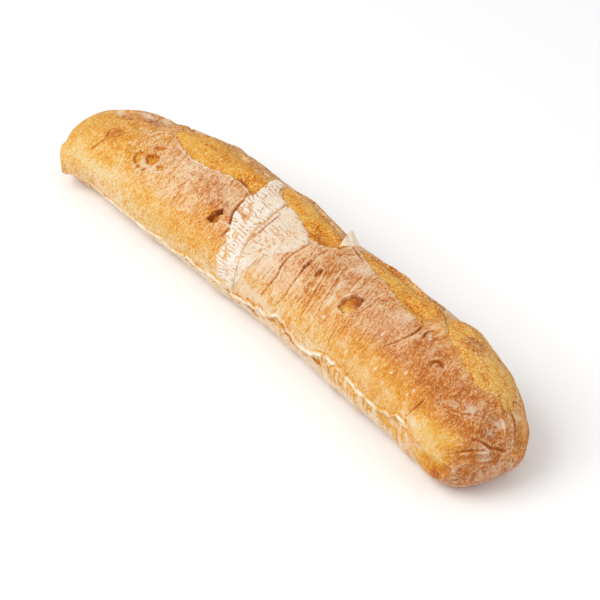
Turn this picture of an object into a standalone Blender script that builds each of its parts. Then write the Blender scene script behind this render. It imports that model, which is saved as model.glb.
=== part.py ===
"""A short, thick baguette: one solid loaf with slashes, folds and burst blisters in its crust.

The loaf lies along X with its nearer end at +X, and rests on a flat base at Z = 0.
A place on the crust is given by two numbers: the distance along the loaf from its middle,
in millimetres, and the angle round it from the crown, in degrees, negative on the -Y side.
Sizes are in millimetres, and MM turns them into metres where the mesh is written.
"""

import bmesh
import bpy
import numpy as np

MM = 0.001

# The plain loaf, at nine stations evenly spaced from the far end to the near end
LENGTH = 400.0
HALF = LENGTH / 2
HALF_WIDTHS = (32.3, 34.8, 39.4, 39.6, 37.5, 37.4, 39.0, 38.3, 39.1)
HEIGHTS = (43.3, 50.6, 57.2, 60.2, 60.8, 60.8, 60.8, 59.7, 57.5)
BOW = (-9.8, -0.5, 4.1, 4.9, 4.7, 3.0, 3.6, -0.5, -9.4)

# The section: a full crown, fuller sides below it, and a flat base
WIDEST_AT = 0.416
CROWN_FULLNESS = 2.15
SIDE_FULLNESS = 2.6
BASE_CUT = 0.06

# The two ends: length of each rounding, its fullness at the crown and at the base, how fast
# the height falls away, and how far the end is slewed toward the back
FAR_END = {"length": 44.5, "crown": 3.4, "base": 4.6, "fall": 0.78, "slew": -2.2}
NEAR_END = {"length": 54.8, "crown": 2.0, "base": 3.1, "fall": 1.06, "slew": 2.8}

# Distance round the crust for one degree, where the loaf is at its full width
ARC = 0.62

# Slashes, from the far end on: where each starts and ends along the loaf, the angles of its
# front lip and of its back lip at five even steps, how high the crumb swells between the lips,
# how deep it lies beside them, and how high the torn skin stands on each side
SLASHES = (
    {"span": (-186, -130), "front": (40, 46, 44, 36, 21), "back": (42, 70, 76, 66, 28),
     "swell": 1.5, "drop": 1.8, "front_lip": 1.4, "back_lip": 1.2},
    {"span": (-127, -36), "front": (8, -5, -7, 0, -4), "back": (20, 46, 30, 27, 30),
     "swell": 2.4, "drop": 1.5, "front_lip": 1.2, "back_lip": 1.4},
    {"span": (-42, 36), "front": (34, 11, 5, -3, 8), "back": (38, 42, 36, 32, 26),
     "swell": 2.2, "drop": 1.7, "front_lip": 1.1, "back_lip": 1.6},
    {"span": (42, 117), "front": (26, 16, 10, 3, 3), "back": (30, 38, 36, 31, 18),
     "swell": 0.2, "drop": 2.2, "front_lip": 1.2, "back_lip": 2.2},
    {"span": (118, 187), "front": (24, 12, 6, 4, 26), "back": (34, 48, 52, 54, 46),
     "swell": 2.0, "drop": 1.5, "front_lip": 0.9, "back_lip": 1.2},
)

# A lip slopes away from its slash over one reach, and drops into it over one step. A slash has
# its full depth and its full swell where it is at least this wide, and is never quite shut
LIP_REACH = 7.0
LIP_STEP = 3.2
FULL_DEPTH_WIDTH = 8.0
FULL_SWELL_WIDTH = 12.0
LEAST_WIDTH = 0.5

# Folds and ridges (height above the crust) and creases (height below it): height, reach to
# each side, and the path over the crust
FOLDS = (
    (0.9, 9.0, ((-43, 26), (-38, 10), (-33, -10))),       # bridge between the second pair of slashes
    (1.2, 10.0, ((34, 30), (38, 14), (42, -8))),          # bridge between the third pair
    (1.8, 7.0, ((107, 34), (113, 27), (124, 14))),        # bridge between the last pair
    (3.2, 4.4, ((11, 50), (19, 47), (31, 36))),           # torn flap of skin that stands up
    (1.1, 4.6, ((-17, 9), (-12, -34), (-11, -90))),       # long fold down the floured band
    (0.9, 4.6, ((-24, 8), (-22, -30), (-20, -66))),
    (0.9, 5.0, ((-141, -30), (-143, -14), (-134, 8))),    # curved stretch mark by the far slash
    (0.8, 4.6, ((34, -10), (40, -34), (40, -70))),
    (0.9, 4.6, ((52, 2), (60, -30), (62, -74))),
    (1.0, 5.0, ((-184, 10), (-168, 26), (-150, 36))),     # dusted ridge at the far end
    (-2.4, 4.2, ((-38, -12), (-35, -30), (-29, -46))),    # dark crack beside the floured band
    (-1.2, 4.2, ((20, -4), (24, -40), (20, -68))),
    (-1.3, 4.2, ((28, -2), (34, -26), (32, -58))),
    (-1.1, 4.2, ((42, 4), (47, -20), (52, -74))),
    (-1.2, 4.2, ((86, 6), (86, -12), (84, -28))),
    (-1.5, 4.4, ((118, 2), (119, -16), (116, -30))),
    (-0.9, 4.2, ((79, -46), (78, -70), (74, -96))),
    (-1.0, 4.2, ((157, -44), (155, -58), (151, -72))),
    (-1.6, 4.6, ((160, 50), (167, 40), (174, 28))),
    (-1.0, 4.2, ((-166, -24), (-162, -38), (-163, -52))),
    (1.3, 4.4, ((193, -76), (196, -52), (198, -30))),     # folds of skin on the near end
    (1.1, 4.4, ((186, 34), (192, 44), (196, 62))),
    (-1.5, 4.4, ((198, -8), (199, 20), (198, 84))),
    (2.4, 5.5, ((-190, -70), (-188, -84), (-184, -98))),  # lip that juts from the far end
)

# Burst blisters, hollows and bumps: height, reach along the loaf and round it, and the place
SPOTS = (
    (-5.0, 5.6, 6.2, -46, -38),     # the two-lobed hole
    (-4.6, 6.4, 7.6, 74, -24),      # the large burst blister
    (-2.6, 4.2, 5.0, 42, -23),
    (-2.8, 5.0, 6.0, -129, -32),    # the cluster of blisters
    (-2.8, 6.0, 5.0, -119, -27),
    (-1.8, 5.0, 4.2, -121, -14),
    (-2.6, 6.0, 5.0, 146, -13),
    (1.4, 5.0, 5.0, 128, -1),
    (-1.2, 16.0, 14.0, 154, -24),
    (-3.4, 7.0, 6.5, -132, 22),     # hollows where the slashes end under the skin
    (-2.6, 12.0, 13.0, -131, 40),
    (-3.2, 15.0, 8.0, -50, 3),
    (-3.4, 16.0, 9.0, 24, 11),
    (-3.0, 14.0, 7.0, 104, 11),
    (-2.8, 7.0, 7.0, 100, 36),
    (2.4, 26.0, 13.0, -84, 42),     # crests of swollen crumb
    (1.4, 18.0, 13.0, -14, 44),
    (3.0, 18.0, 13.0, 131, 44),
    (-1.6, 14.0, 12.0, -46, 44),
    (-1.2, 14.0, 12.0, 159, 46),
    (1.6, 5.0, 5.0, 192, -88),      # small knob on the near end
    (-2.4, 22.0, 14.0, -165, -108),
    (2.0, 10.0, 14.0, 197, 128),
    (-1.8, 12.0, 13.0, -145, 50),   # dips in the crown and in the band below the seam
    (-1.4, 12.0, 12.0, 70, -104),
)

# The seams low on each side, where the loaf lay against its cloth: their angles at the nine
# stations, the height of the rim, and how far the band below is set in at the nine stations
FRONT_SEAM = (-98, -102, -103, -97, -92, -86, -81, -71, -88)
BACK_SEAM = (96, 99, 97, 93, 95, 98, 92, 90, 96)
SEAM_RIM = 1.0
SEAM_REACH = 4.5
FRONT_SET_IN = (1.0, 1.6, -0.2, 0.6, 0.1, 1.2, -0.9, 2.4, 0.2)
BACK_SET_IN = (1.0, 1.2, 0.6, 1.4, 1.0, 1.6, 0.8, 1.4, 0.4)
BAND_DEPTH = 40.0
BAND_FADE = 16.0

# Slow unevenness of the whole crust: height, waves in the length, waves round, and phase
SWELLS = (
    (0.50, 4.3, 2.0, 0.6),
    (0.40, 7.1, 3.0, 2.1),
    (0.30, 11.7, 2.0, 4.0),
    (0.25, 17.3, 5.0, 5.2),
)

# Above this height the crust carries its full relief; the base carries none
RELIEF_FROM = 5.0

# Slashes, seams and swells die out at the tips: they are whole where the section keeps the
# larger part of its size, and gone where it keeps the smaller
WHOLE_AT = 0.72
GONE_AT = 0.27

# Mesh: rings along the loaf, and round it bands of evenly spaced vertices, each with its first
# and last angle and its number of steps; the base meets the floor along the band's edge at 147.1
RINGS = 90
BASE_EDGE = 147.1
BANDS = (
    (-180.0, -BASE_EDGE, 3),
    (-BASE_EDGE, -52.0, 17),
    (-52.0, 60.0, 30),
    (60.0, BASE_EDGE, 13),
    (BASE_EDGE, 180.0, 3),
)
ROUND = sum(steps for _, _, steps in BANDS)


def curve(t, values):
    """A smooth curve (Catmull-Rom) through values spaced evenly over t from 0 to 1."""
    knots = np.concatenate(([2 * values[0] - values[1]], values, [2 * values[-1] - values[-2]]))
    steps = len(values) - 1
    along = np.clip(t, 0.0, 1.0) * steps
    i = np.minimum(along.astype(int), steps - 1)
    f = along - i
    before, start, end, after = knots[i], knots[i + 1], knots[i + 2], knots[i + 3]
    return 0.5 * (2 * start + (end - before) * f
                  + (2 * before - 5 * start + 4 * end - after) * f ** 2
                  + (3 * start - before - 3 * end + after) * f ** 3)


def bell(d):
    """1 at the middle, falling smoothly to 0 where d is 1."""
    return np.where(np.abs(d) < 1.0, (1.0 - d * d) ** 2, 0.0)


def ease(t):
    """A smooth step from 0 to 1 as t goes from 0 to 1."""
    t = np.clip(t, 0.0, 1.0)
    return t * t * (3.0 - 2.0 * t)


def power(base, exponent):
    """A power that keeps the sign of its base."""
    return np.sign(base) * np.abs(base) ** exponent


def end_shrink(x, angle):
    """How much of its full size the section keeps: 1 along the loaf, 0 at each tip."""
    low = 0.5 - 0.5 * np.cos(angle)
    kept = np.ones_like(x)
    for side, end in ((-1, FAR_END), (1, NEAR_END)):
        gone = np.clip((side * x - HALF + end["length"]) / end["length"], 0.0, 1.0)
        fullness = end["crown"] + (end["base"] - end["crown"]) * low
        kept = kept * np.maximum(1.0 - gone ** fullness, 0.0) ** (1.0 / fullness)
    return kept


def body(x, degrees):
    """Points of the plain loaf, before any relief."""
    angle = np.radians(degrees)
    t = (x + HALF) / LENGTH
    kept = end_shrink(x, angle)
    height = curve(t, HEIGHTS)
    middle = WIDEST_AT * height
    above = np.cos(angle) >= 0
    fullness = np.where(above, CROWN_FULLNESS, SIDE_FULLNESS)
    sideways = power(np.sin(angle), 2 / fullness) * kept
    upright = power(np.cos(angle), 2 / fullness)
    upright = np.where(above, height - middle, middle + BASE_CUT * height) * upright
    fall = np.where(x > 0, NEAR_END["fall"], FAR_END["fall"])
    slew = np.zeros_like(x)
    for side, end in ((-1, FAR_END), (1, NEAR_END)):
        gone = np.clip((side * x - HALF + end["length"]) / end["length"], 0.0, 1.0)
        slew = slew + end["slew"] * gone ** 2 * sideways
    y = curve(t, HALF_WIDTHS) * sideways + curve(t, BOW)
    z = np.maximum(middle + upright * kept ** fall, 0.0)
    return np.stack((x + slew, y, z), axis=-1)


def outward(x, degrees):
    """Unit normals of the plain loaf."""
    step = 0.4
    tiny = 1e-6
    limit = HALF - 1e-4
    ahead = body(np.minimum(x + step, limit), degrees)
    behind = body(np.maximum(x - step, -limit), degrees)
    left = body(np.clip(x, -limit, limit), degrees - step)
    right = body(np.clip(x, -limit, limit), degrees + step)
    normal = np.cross(ahead - behind, right - left)
    length = np.linalg.norm(normal, axis=-1, keepdims=True)
    tip = np.stack((np.sign(x), np.zeros_like(x), np.zeros_like(x)), axis=-1)
    return np.where(length > tiny, normal / np.maximum(length, tiny), tip)


def distance_to_path(points, path):
    """Distance in millimetres from each point to a path laid over the crust."""
    places = np.array(path, dtype=float)
    corners = body(places[:, 0], places[:, 1])
    nearest = np.full(len(points), np.inf)
    for start, end in zip(corners[:-1], corners[1:]):
        run = end - start
        part = np.clip((points - start) @ run / (run @ run), 0.0, 1.0)
        gap = np.linalg.norm(points - (start + part[:, None] * run), axis=1)
        nearest = np.minimum(nearest, gap)
    return nearest


def slash_relief(x, degrees, slash):
    """Height of the crust over one slash: swollen crumb between two raised lips of skin."""
    first, last = slash["span"]
    u = (x - first) / (last - first)
    within = (u > 0) & (u < 1)
    front = curve(u, slash["front"])
    width = np.maximum((curve(u, slash["back"]) - front) * ARC, LEAST_WIDTH)
    across = (degrees - front) * ARC
    open_part = np.sin(np.pi * np.clip(u, 0.0, 1.0)) ** 0.5
    depth = slash["drop"] * np.clip(width / FULL_DEPTH_WIDTH, 0.0, 1.0) * open_part
    swell = slash["swell"] * open_part + depth
    swell = swell * np.clip(width / FULL_SWELL_WIDTH, 0.0, 1.0)
    inside = np.sin(np.pi * np.clip(across / width, 0.0, 1.0)) ** 0.7 * swell - depth
    front_side = slash["front_lip"] * open_part * bell(np.minimum(across, 0.0) / LIP_REACH)
    back_side = slash["back_lip"] * open_part * bell(np.maximum(across - width, 0.0) / LIP_REACH)
    past_front = ease(across / LIP_STEP + 1 / 3)
    past_back = ease((across - width) / LIP_STEP + 2 / 3)
    height = front_side + (inside - front_side) * past_front
    height += (back_side - height) * past_back
    return np.where(within, height, 0.0)


def seam_relief(x, degrees, seam, set_in, side):
    """A low rim along one seam, with the band below it set in toward the base."""
    t = (x + HALF) / LENGTH
    below = side * (degrees - curve(t, seam)) * ARC
    rim = SEAM_RIM * bell(below / SEAM_REACH)
    fade = np.clip((BAND_DEPTH - below) / BAND_FADE, 0.0, 1.0)
    return rim - curve(t, set_in) * np.clip(below / SEAM_REACH, 0.0, 1.0) * fade


def relief(x, degrees, points):
    """Height of the real crust above the plain loaf at each point."""
    height = np.zeros_like(x)
    for amount, waves, turns, phase in SWELLS:
        along = 2 * np.pi * waves * x / LENGTH
        height += amount * np.sin(along + phase) * np.cos(turns * np.radians(degrees) + 2 * phase)
    for slash in SLASHES:
        height += slash_relief(x, degrees, slash)
    height += seam_relief(x, degrees, FRONT_SEAM, FRONT_SET_IN, -1)
    height += seam_relief(x, degrees, BACK_SEAM, BACK_SET_IN, 1)
    kept = end_shrink(x, np.radians(degrees))
    height *= np.clip((kept - GONE_AT) / (WHOLE_AT - GONE_AT), 0.0, 1.0)
    for amount, reach, path in FOLDS:
        height += amount * bell(distance_to_path(points, path) / reach)
    for amount, along, around, at, angle in SPOTS:
        centre = body(np.array([float(at)]), np.array([float(angle)]))[0]
        gap = points - centre
        along_gap = gap[:, 0] / along
        around_gap = np.hypot(gap[:, 1], gap[:, 2]) / around
        height += amount * bell(np.hypot(along_gap, around_gap))
    return height * np.clip(points[:, 2] / RELIEF_FROM, 0.0, 1.0)


def ring_places(rings):
    """Places of the rings along the loaf, evenly spaced over the crust from tip to tip."""
    samples = 4001
    x = HALF * np.sin(np.linspace(-np.pi / 2, np.pi / 2, samples))
    y = np.mean(HALF_WIDTHS) * end_shrink(x, np.full_like(x, np.pi / 2))
    walked = np.concatenate(([0.0], np.cumsum(np.hypot(np.diff(x), np.diff(y)))))
    return np.interp(np.linspace(0.0, walked[-1], rings + 1), walked, x)


def round_places():
    """Angles of the vertices round the loaf, closest over the crown."""
    bands = [np.linspace(first, last, steps, endpoint=False) for first, last, steps in BANDS]
    return np.concatenate(bands)


def loaf_points(ball):
    """Where each vertex of a unit ball, with its poles on X, goes on the loaf."""
    ring = np.rint(np.arccos(np.clip(-ball[:, 0], -1.0, 1.0)) / np.pi * RINGS).astype(int)
    turn = np.rint(np.arctan2(ball[:, 1], ball[:, 2]) / (2 * np.pi) * ROUND).astype(int)
    x = ring_places(RINGS)[ring]
    degrees = round_places()[(turn + ROUND // 2) % ROUND]
    plain = body(x, degrees)
    points = plain + outward(x, degrees) * relief(x, degrees, plain)[:, None]
    points[plain[:, 2] <= 0.0] = plain[plain[:, 2] <= 0.0]
    points[:, 2] = np.maximum(points[:, 2], 0.0)
    low, high = points.min(axis=0), points.max(axis=0)
    points[:, 0] = (points[:, 0] - (low[0] + high[0]) / 2) * LENGTH / (high[0] - low[0])
    points[:, 1] -= (low[1] + high[1]) / 2
    return points


def crust_material():
    """Golden-brown baked crust."""
    material = bpy.data.materials.new("golden_crust")
    material.use_nodes = True
    shader = material.node_tree.nodes["Principled BSDF"]
    shader.inputs["Base Color"].default_value = (0.79, 0.44, 0.16, 1.0)
    shader.inputs["Roughness"].default_value = 0.72
    shader.inputs["Metallic"].default_value = 0.0
    return material


def make_loaf(collection):
    """The loaf: a ball with its poles along X, every vertex moved onto the crust."""
    ball = bmesh.new()
    bmesh.ops.create_uvsphere(ball, u_segments=ROUND, v_segments=RINGS, radius=1.0)
    # The ball's poles are on Z: turn them onto X, with the first meridian over the crown
    places = np.array([(vertex.co.z, vertex.co.y, -vertex.co.x) for vertex in ball.verts])
    points = loaf_points(places) * MM
    for vertex, point in zip(ball.verts, points):
        vertex.co = point
    mesh = bpy.data.meshes.new("loaf")
    ball.to_mesh(mesh)
    ball.free()
    mesh.shade_smooth()
    mesh.materials.append(crust_material())
    loaf = bpy.data.objects.new("loaf", mesh)
    collection.objects.link(loaf)
    return loaf


def main():
    for thing in list(bpy.data.objects):
        bpy.data.objects.remove(thing, do_unlink=True)
    baguette = bpy.data.collections.new("baguette")
    bpy.context.scene.collection.children.link(baguette)
    make_loaf(baguette)


main()
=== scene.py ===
"""Baguette: the looks of one short, thick loaf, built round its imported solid.

A place on the crust is given by the distance along the loaf from its middle, in millimetres,
and the angle round it from the crown, in degrees, negative on the -Y side. MM turns
millimetres into metres where a mesh is written.
"""

import math

import bpy
import numpy as np
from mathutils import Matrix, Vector


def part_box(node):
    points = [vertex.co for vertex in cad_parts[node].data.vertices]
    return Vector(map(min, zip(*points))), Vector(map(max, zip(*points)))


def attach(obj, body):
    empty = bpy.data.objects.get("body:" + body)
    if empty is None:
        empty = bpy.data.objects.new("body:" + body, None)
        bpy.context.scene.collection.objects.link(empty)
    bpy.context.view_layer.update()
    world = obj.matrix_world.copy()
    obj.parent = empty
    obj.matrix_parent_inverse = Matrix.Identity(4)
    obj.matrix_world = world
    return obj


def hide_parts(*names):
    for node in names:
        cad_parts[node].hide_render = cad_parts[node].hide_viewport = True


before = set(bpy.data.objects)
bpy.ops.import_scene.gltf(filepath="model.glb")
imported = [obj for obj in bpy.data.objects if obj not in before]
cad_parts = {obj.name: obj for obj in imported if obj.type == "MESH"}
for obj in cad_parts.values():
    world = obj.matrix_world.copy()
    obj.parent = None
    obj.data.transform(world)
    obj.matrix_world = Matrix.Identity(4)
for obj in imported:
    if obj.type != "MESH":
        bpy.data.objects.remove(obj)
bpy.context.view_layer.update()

# ---- Skin ------------------------------------------------------------------------------
# The outer skin of the loaf: dough that dried, stretched and browned in the oven, wrinkled
# across the loaf, burst by blisters and dusted with flour. It is one skin, opened along five
# slashes, and is laid in three strips that share their edges.

# The plain loaf, in millimetres. At nine even stations from the far end to the near one: half
# its width, its height, and how far it bows sideways. Then its section: how high it is widest, as
# a share of its height, how full its crown and sides are, and how much the base cuts off; its
# two ends; and how many millimetres of crust lie in one degree
MM = 0.001
LENGTH = 400.0
HALF = LENGTH / 2
HALF_WIDTHS = (32.3, 34.8, 39.4, 39.6, 37.5, 37.4, 39.0, 38.3, 39.1)
HEIGHTS = (43.3, 50.6, 57.2, 60.2, 60.8, 60.8, 60.8, 59.7, 57.5)
BOW = (-9.8, -0.5, 4.1, 4.9, 4.7, 3.0, 3.6, -0.5, -9.4)
WIDEST_AT = 0.416
CROWN_FULLNESS = 2.15
SIDE_FULLNESS = 2.6
BASE_CUT = 0.06
FAR_END = {"length": 44.5, "crown": 3.4, "base": 4.6, "fall": 0.78, "slew": -2.2}
NEAR_END = {"length": 54.8, "crown": 2.0, "base": 3.1, "fall": 1.06, "slew": 2.8}
ARC = 0.62

# Where each slash starts and ends along the loaf, the angles of its front lip and of its back
# lip at five even steps, and how far bare crumb shows behind; then how high the crumb swells
# in it, how deep it lies beside the lips, how high the skin stands on each side, and how pale
# its torn front edge is
SLASHES = (
    {"span": (-186, -130), "front": (40, 46, 44, 36, 21), "back": (42, 70, 76, 66, 28),
     "bare": (44, 72, 78, 68, 32), "swell": 1.5, "drop": 1.2, "front_lip": 1.2, "back_lip": 1.2, "pale": 0.4},
    {"span": (-127, -36), "front": (8, -5, -7, 0, -4), "back": (20, 46, 30, 27, 30),
     "bare": (30, 62, 66, 58, 38), "swell": 2.4, "drop": 0.8, "front_lip": 0.9, "back_lip": 1.4, "pale": 0.6},
    {"span": (-42, 36), "front": (34, 11, 5, -3, 8), "back": (38, 42, 36, 32, 26),
     "bare": (42, 58, 62, 58, 38), "swell": 2.2, "drop": 0.9, "front_lip": 0.8, "back_lip": 1.6, "pale": 0.4},
    {"span": (42, 117), "front": (26, 16, 10, 3, 3), "back": (30, 38, 36, 31, 18),
     "bare": (36, 56, 60, 54, 26), "swell": 0.2, "drop": 0.4, "front_lip": 0.6, "back_lip": 2.2, "pale": 0.3},
    {"span": (118, 187), "front": (24, 12, 6, 4, 26), "back": (34, 48, 52, 54, 46),
     "bare": (38, 62, 68, 66, 50), "swell": 2.2, "drop": 0.0, "front_lip": 0.2, "back_lip": 1.2, "pale": 0.0},
)

# Reach of the raised lips, and of the step where crumb meets the back one and where that
# starts; the widths at which a slash has its full depth and its full swell, and its least; how
# its ends slant and round off; and how full the swell is
LIP_REACH = 7.0
LIP_STEP = 3.2
STEP_STARTS = 2 / 3
FULL_DEPTH_WIDTH = 8.0
FULL_SWELL_WIDTH = 12.0
LEAST_WIDTH = 0.5
END_SLANT = 0.8
END_ROUNDNESS = 0.5
SWELL_FULLNESS = 0.7


def curve(t, values):
    """A smooth curve (Catmull-Rom) through values spaced evenly over t from 0 to 1."""
    knots = np.concatenate(([2 * values[0] - values[1]], values, [2 * values[-1] - values[-2]]))
    steps = len(values) - 1
    along = np.clip(t, 0.0, 1.0) * steps
    i = np.minimum(along.astype(int), steps - 1)
    f = along - i
    before, start, end, after = knots[i], knots[i + 1], knots[i + 2], knots[i + 3]
    return 0.5 * (2 * start + (end - before) * f
                  + (2 * before - 5 * start + 4 * end - after) * f ** 2
                  + (3 * start - before - 3 * end + after) * f ** 3)


def bell(d):
    """1 at the middle, falling smoothly to 0 where d is 1."""
    return np.where(np.abs(d) < 1.0, (1.0 - d * d) ** 2, 0.0)


def ease(t):
    """A smooth step from 0 to 1 as t goes from 0 to 1."""
    t = np.clip(t, 0.0, 1.0)
    return t * t * (3.0 - 2.0 * t)


def power(base, exponent):
    """A power that keeps the sign of its base."""
    return np.sign(base) * np.abs(base) ** exponent


def end_shrink(x, angle):
    """How much of its full size the section keeps: 1 along the loaf, 0 at each tip."""
    low = 0.5 - 0.5 * np.cos(angle)
    kept = np.ones_like(x)
    for side, end in ((-1, FAR_END), (1, NEAR_END)):
        gone = np.clip((side * x - HALF + end["length"]) / end["length"], 0.0, 1.0)
        fullness = end["crown"] + (end["base"] - end["crown"]) * low
        kept = kept * np.maximum(1.0 - gone ** fullness, 0.0) ** (1.0 / fullness)
    return kept


def body(x, degrees):
    """Points of the plain loaf, before any relief."""
    angle = np.radians(degrees)
    t = (x + HALF) / LENGTH
    kept = end_shrink(x, angle)
    height = curve(t, HEIGHTS)
    middle = WIDEST_AT * height
    above = np.cos(angle) >= 0
    fullness = np.where(above, CROWN_FULLNESS, SIDE_FULLNESS)
    sideways = power(np.sin(angle), 2 / fullness) * kept
    upright = power(np.cos(angle), 2 / fullness)
    upright = np.where(above, height - middle, middle + BASE_CUT * height) * upright
    fall = np.where(x > 0, NEAR_END["fall"], FAR_END["fall"])
    slew = np.zeros_like(x)
    for side, end in ((-1, FAR_END), (1, NEAR_END)):
        gone = np.clip((side * x - HALF + end["length"]) / end["length"], 0.0, 1.0)
        slew = slew + end["slew"] * gone ** 2 * sideways
    y = curve(t, HALF_WIDTHS) * sideways + curve(t, BOW)
    z = np.maximum(middle + upright * kept ** fall, 0.0)
    return np.stack((x + slew, y, z), axis=-1)


def outward(x, degrees):
    """Unit normals of the plain loaf."""
    step = 0.4
    tiny = 1e-6
    limit = HALF - 1e-4
    ahead = body(np.minimum(x + step, limit), degrees)
    behind = body(np.maximum(x - step, -limit), degrees)
    left = body(np.clip(x, -limit, limit), degrees - step)
    right = body(np.clip(x, -limit, limit), degrees + step)
    normal = np.cross(ahead - behind, right - left)
    length = np.linalg.norm(normal, axis=-1, keepdims=True)
    tip = np.stack((np.sign(x), np.zeros_like(x), np.zeros_like(x)), axis=-1)
    return np.where(length > tiny, normal / np.maximum(length, tiny), tip)


def noise(points, size, seed):
    """Smooth random values from -1 to 1 in space. The size of the lumps is one number for all
    directions, or three for x, y and z."""
    cells = 64
    shift = 0.37 * seed
    lattice = np.random.default_rng(seed).uniform(-1.0, 1.0, (cells, cells, cells))
    place = points / np.array(size, dtype=float) + shift
    low = np.floor(place).astype(int)
    part = place - low
    part = part * part * (3.0 - 2.0 * part)
    total = np.zeros(len(points))
    for corner in np.ndindex(2, 2, 2):
        share = np.prod(np.where(np.array(corner), part, 1.0 - part), axis=1)
        total += share * lattice[tuple(((low + corner) % cells).T)]
    return total


def layered_noise(points, size, seed, layers=3):
    """Noise with ever finer layers, each half as large and half as strong."""
    size = np.array(size, dtype=float)
    total = np.zeros(len(points))
    for layer in range(layers):
        total += 0.5 ** layer * noise(points, size * 0.5 ** layer, seed + layer)
    return total / (2.0 - 0.5 ** (layers - 1))


def ragged_by(points, layers):
    """The sum of several noises, each with its amount, size and seed."""
    return sum(amount * noise(points, size, seed) for amount, size, seed in layers)


def path_distance(points, path):
    """Distance in millimetres from each point to a smooth path laid over the crust, and how
    far along the path, from 0 to 1, the nearest place is."""
    places = np.array(path, dtype=float)
    t = np.linspace(0.0, 1.0, 3 * len(places) - 2)
    corners = body(curve(t, places[:, 0]), curve(t, places[:, 1]))
    nearest = np.full(len(points), np.inf)
    reached = np.zeros(len(points))
    for i, (start, end) in enumerate(zip(corners[:-1], corners[1:])):
        run = end - start
        part = np.clip((points - start) @ run / (run @ run), 0.0, 1.0)
        gap = np.linalg.norm(points - (start + part[:, None] * run), axis=1)
        reached = np.where(gap < nearest, (i + part) / (len(corners) - 1), reached)
        nearest = np.minimum(nearest, gap)
    return nearest, reached


def spot_distance(points, along, around, x, degrees):
    """Distance from a place on the crust, in shares of a spot's reach along and round."""
    gap = points - body(np.array([float(x)]), np.array([float(degrees)]))[0]
    return np.hypot(gap[:, 0] / along, np.hypot(gap[:, 1], gap[:, 2]) / around)


def outline_distance(x, degrees, outline):
    """Distance in millimetres from a closed outline on the unrolled crust, positive inside."""
    corners = np.array(outline, dtype=float) * (1.0, ARC)
    across = degrees * ARC
    nearest = np.full(len(x), np.inf)
    inside = np.zeros(len(x), dtype=bool)
    for start, end in zip(corners, np.roll(corners, -1, axis=0)):
        run = end - start
        part = ((x - start[0]) * run[0] + (across - start[1]) * run[1]) / (run @ run)
        part = np.clip(part, 0.0, 1.0)
        away = np.hypot(x - start[0] - part * run[0], across - start[1] - part * run[1])
        nearest = np.minimum(nearest, away)
        crossed = (start[1] > across) != (end[1] > across)
        if run[1] != 0:
            inside ^= crossed & (x < start[0] + (across - start[1]) * run[0] / run[1])
    return np.where(inside, nearest, -nearest)


def plates(x, around, size, seed):
    """Cracked plates: distance in millimetres from the nearest crack between them."""
    cells = 64
    margin = 0.1
    jitter = np.random.default_rng(seed).uniform(margin, 1.0 - margin, (cells, cells, 2))
    place = np.stack((x, around), axis=1) / np.array(size)
    low = np.floor(place).astype(int)
    nearest = np.full(len(x), np.inf)
    second = np.full(len(x), np.inf)
    for step in np.ndindex(3, 3):
        cell = low + np.array(step) - 1
        centre = cell + jitter[tuple((cell % cells).T)]
        away = np.hypot(*((place - centre) * size).T)
        second = np.minimum(second, np.maximum(nearest, away))
        nearest = np.minimum(nearest, away)
    return (second - nearest) / 2


def slash_shape(x, degrees, slash):
    """For one slash: signed distance from its edge, positive where the crumb is bare, height
    of the crumb, and height of the skin in front of it."""
    first, last = slash["span"]
    u = (x - first) / (last - first)
    opened = np.sin(np.pi * np.clip(u, 0.0, 1.0)) ** END_ROUNDNESS
    front = curve(u, slash["front"])
    width = np.maximum((curve(u, slash["back"]) - front) * ARC, LEAST_WIDTH)
    across = (degrees - front) * ARC
    bare = (curve(u, slash["bare"]) - degrees) * ARC
    ends = np.minimum(x - first, last - x) * END_SLANT
    inside = np.minimum(np.minimum(across, bare), ends)
    depth = slash["drop"] * np.clip(width / FULL_DEPTH_WIDTH, 0.0, 1.0) * opened
    swell = slash["swell"] * opened + depth
    swell = swell * np.clip(width / FULL_SWELL_WIDTH, 0.0, 1.0)
    crumb = np.sin(np.pi * np.clip(across / width, 0.0, 1.0)) ** SWELL_FULLNESS * swell - depth
    behind = slash["back_lip"] * opened * bell(np.maximum(across - width, 0.0) / LIP_REACH)
    crumb = crumb + (behind - crumb) * ease((across - width) / LIP_STEP + STEP_STARTS)
    skin_side = slash["front_lip"] * opened * bell(np.minimum(across, 0.0) / LIP_REACH)
    skin_side = np.where(across < width / 2, skin_side, behind)
    return inside, crumb, skin_side


# Slow unevenness of the whole crust: height, waves in the length, waves round, and phase
SWELLS = (
    (0.50, 4.3, 2.0, 0.6),
    (0.40, 7.1, 3.0, 2.1),
    (0.30, 11.7, 2.0, 4.0),
    (0.25, 17.3, 5.0, 5.2),
)

# The cake of flour over the middle of the loaf: its outline and how high it can stand on the
# skin, which counts toward the loaf's height
FLOUR_OUTLINE = (
    (-47, 36), (-43, 16), (-38, 1), (-37, -16), (-35, -30), (-30, -42), (-27, -56), (-29, -72),
    (-25, -90), (-12, -94), (-7, -80), (-3, -64), (4, -47), (10, -36), (17, -25), (20, -8),
    (13, 1), (0, 4), (-12, 11), (-20, 11), (-30, 15), (-37, 24), (-41, 38),
)
FLOUR_TOP = 0.7

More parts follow.
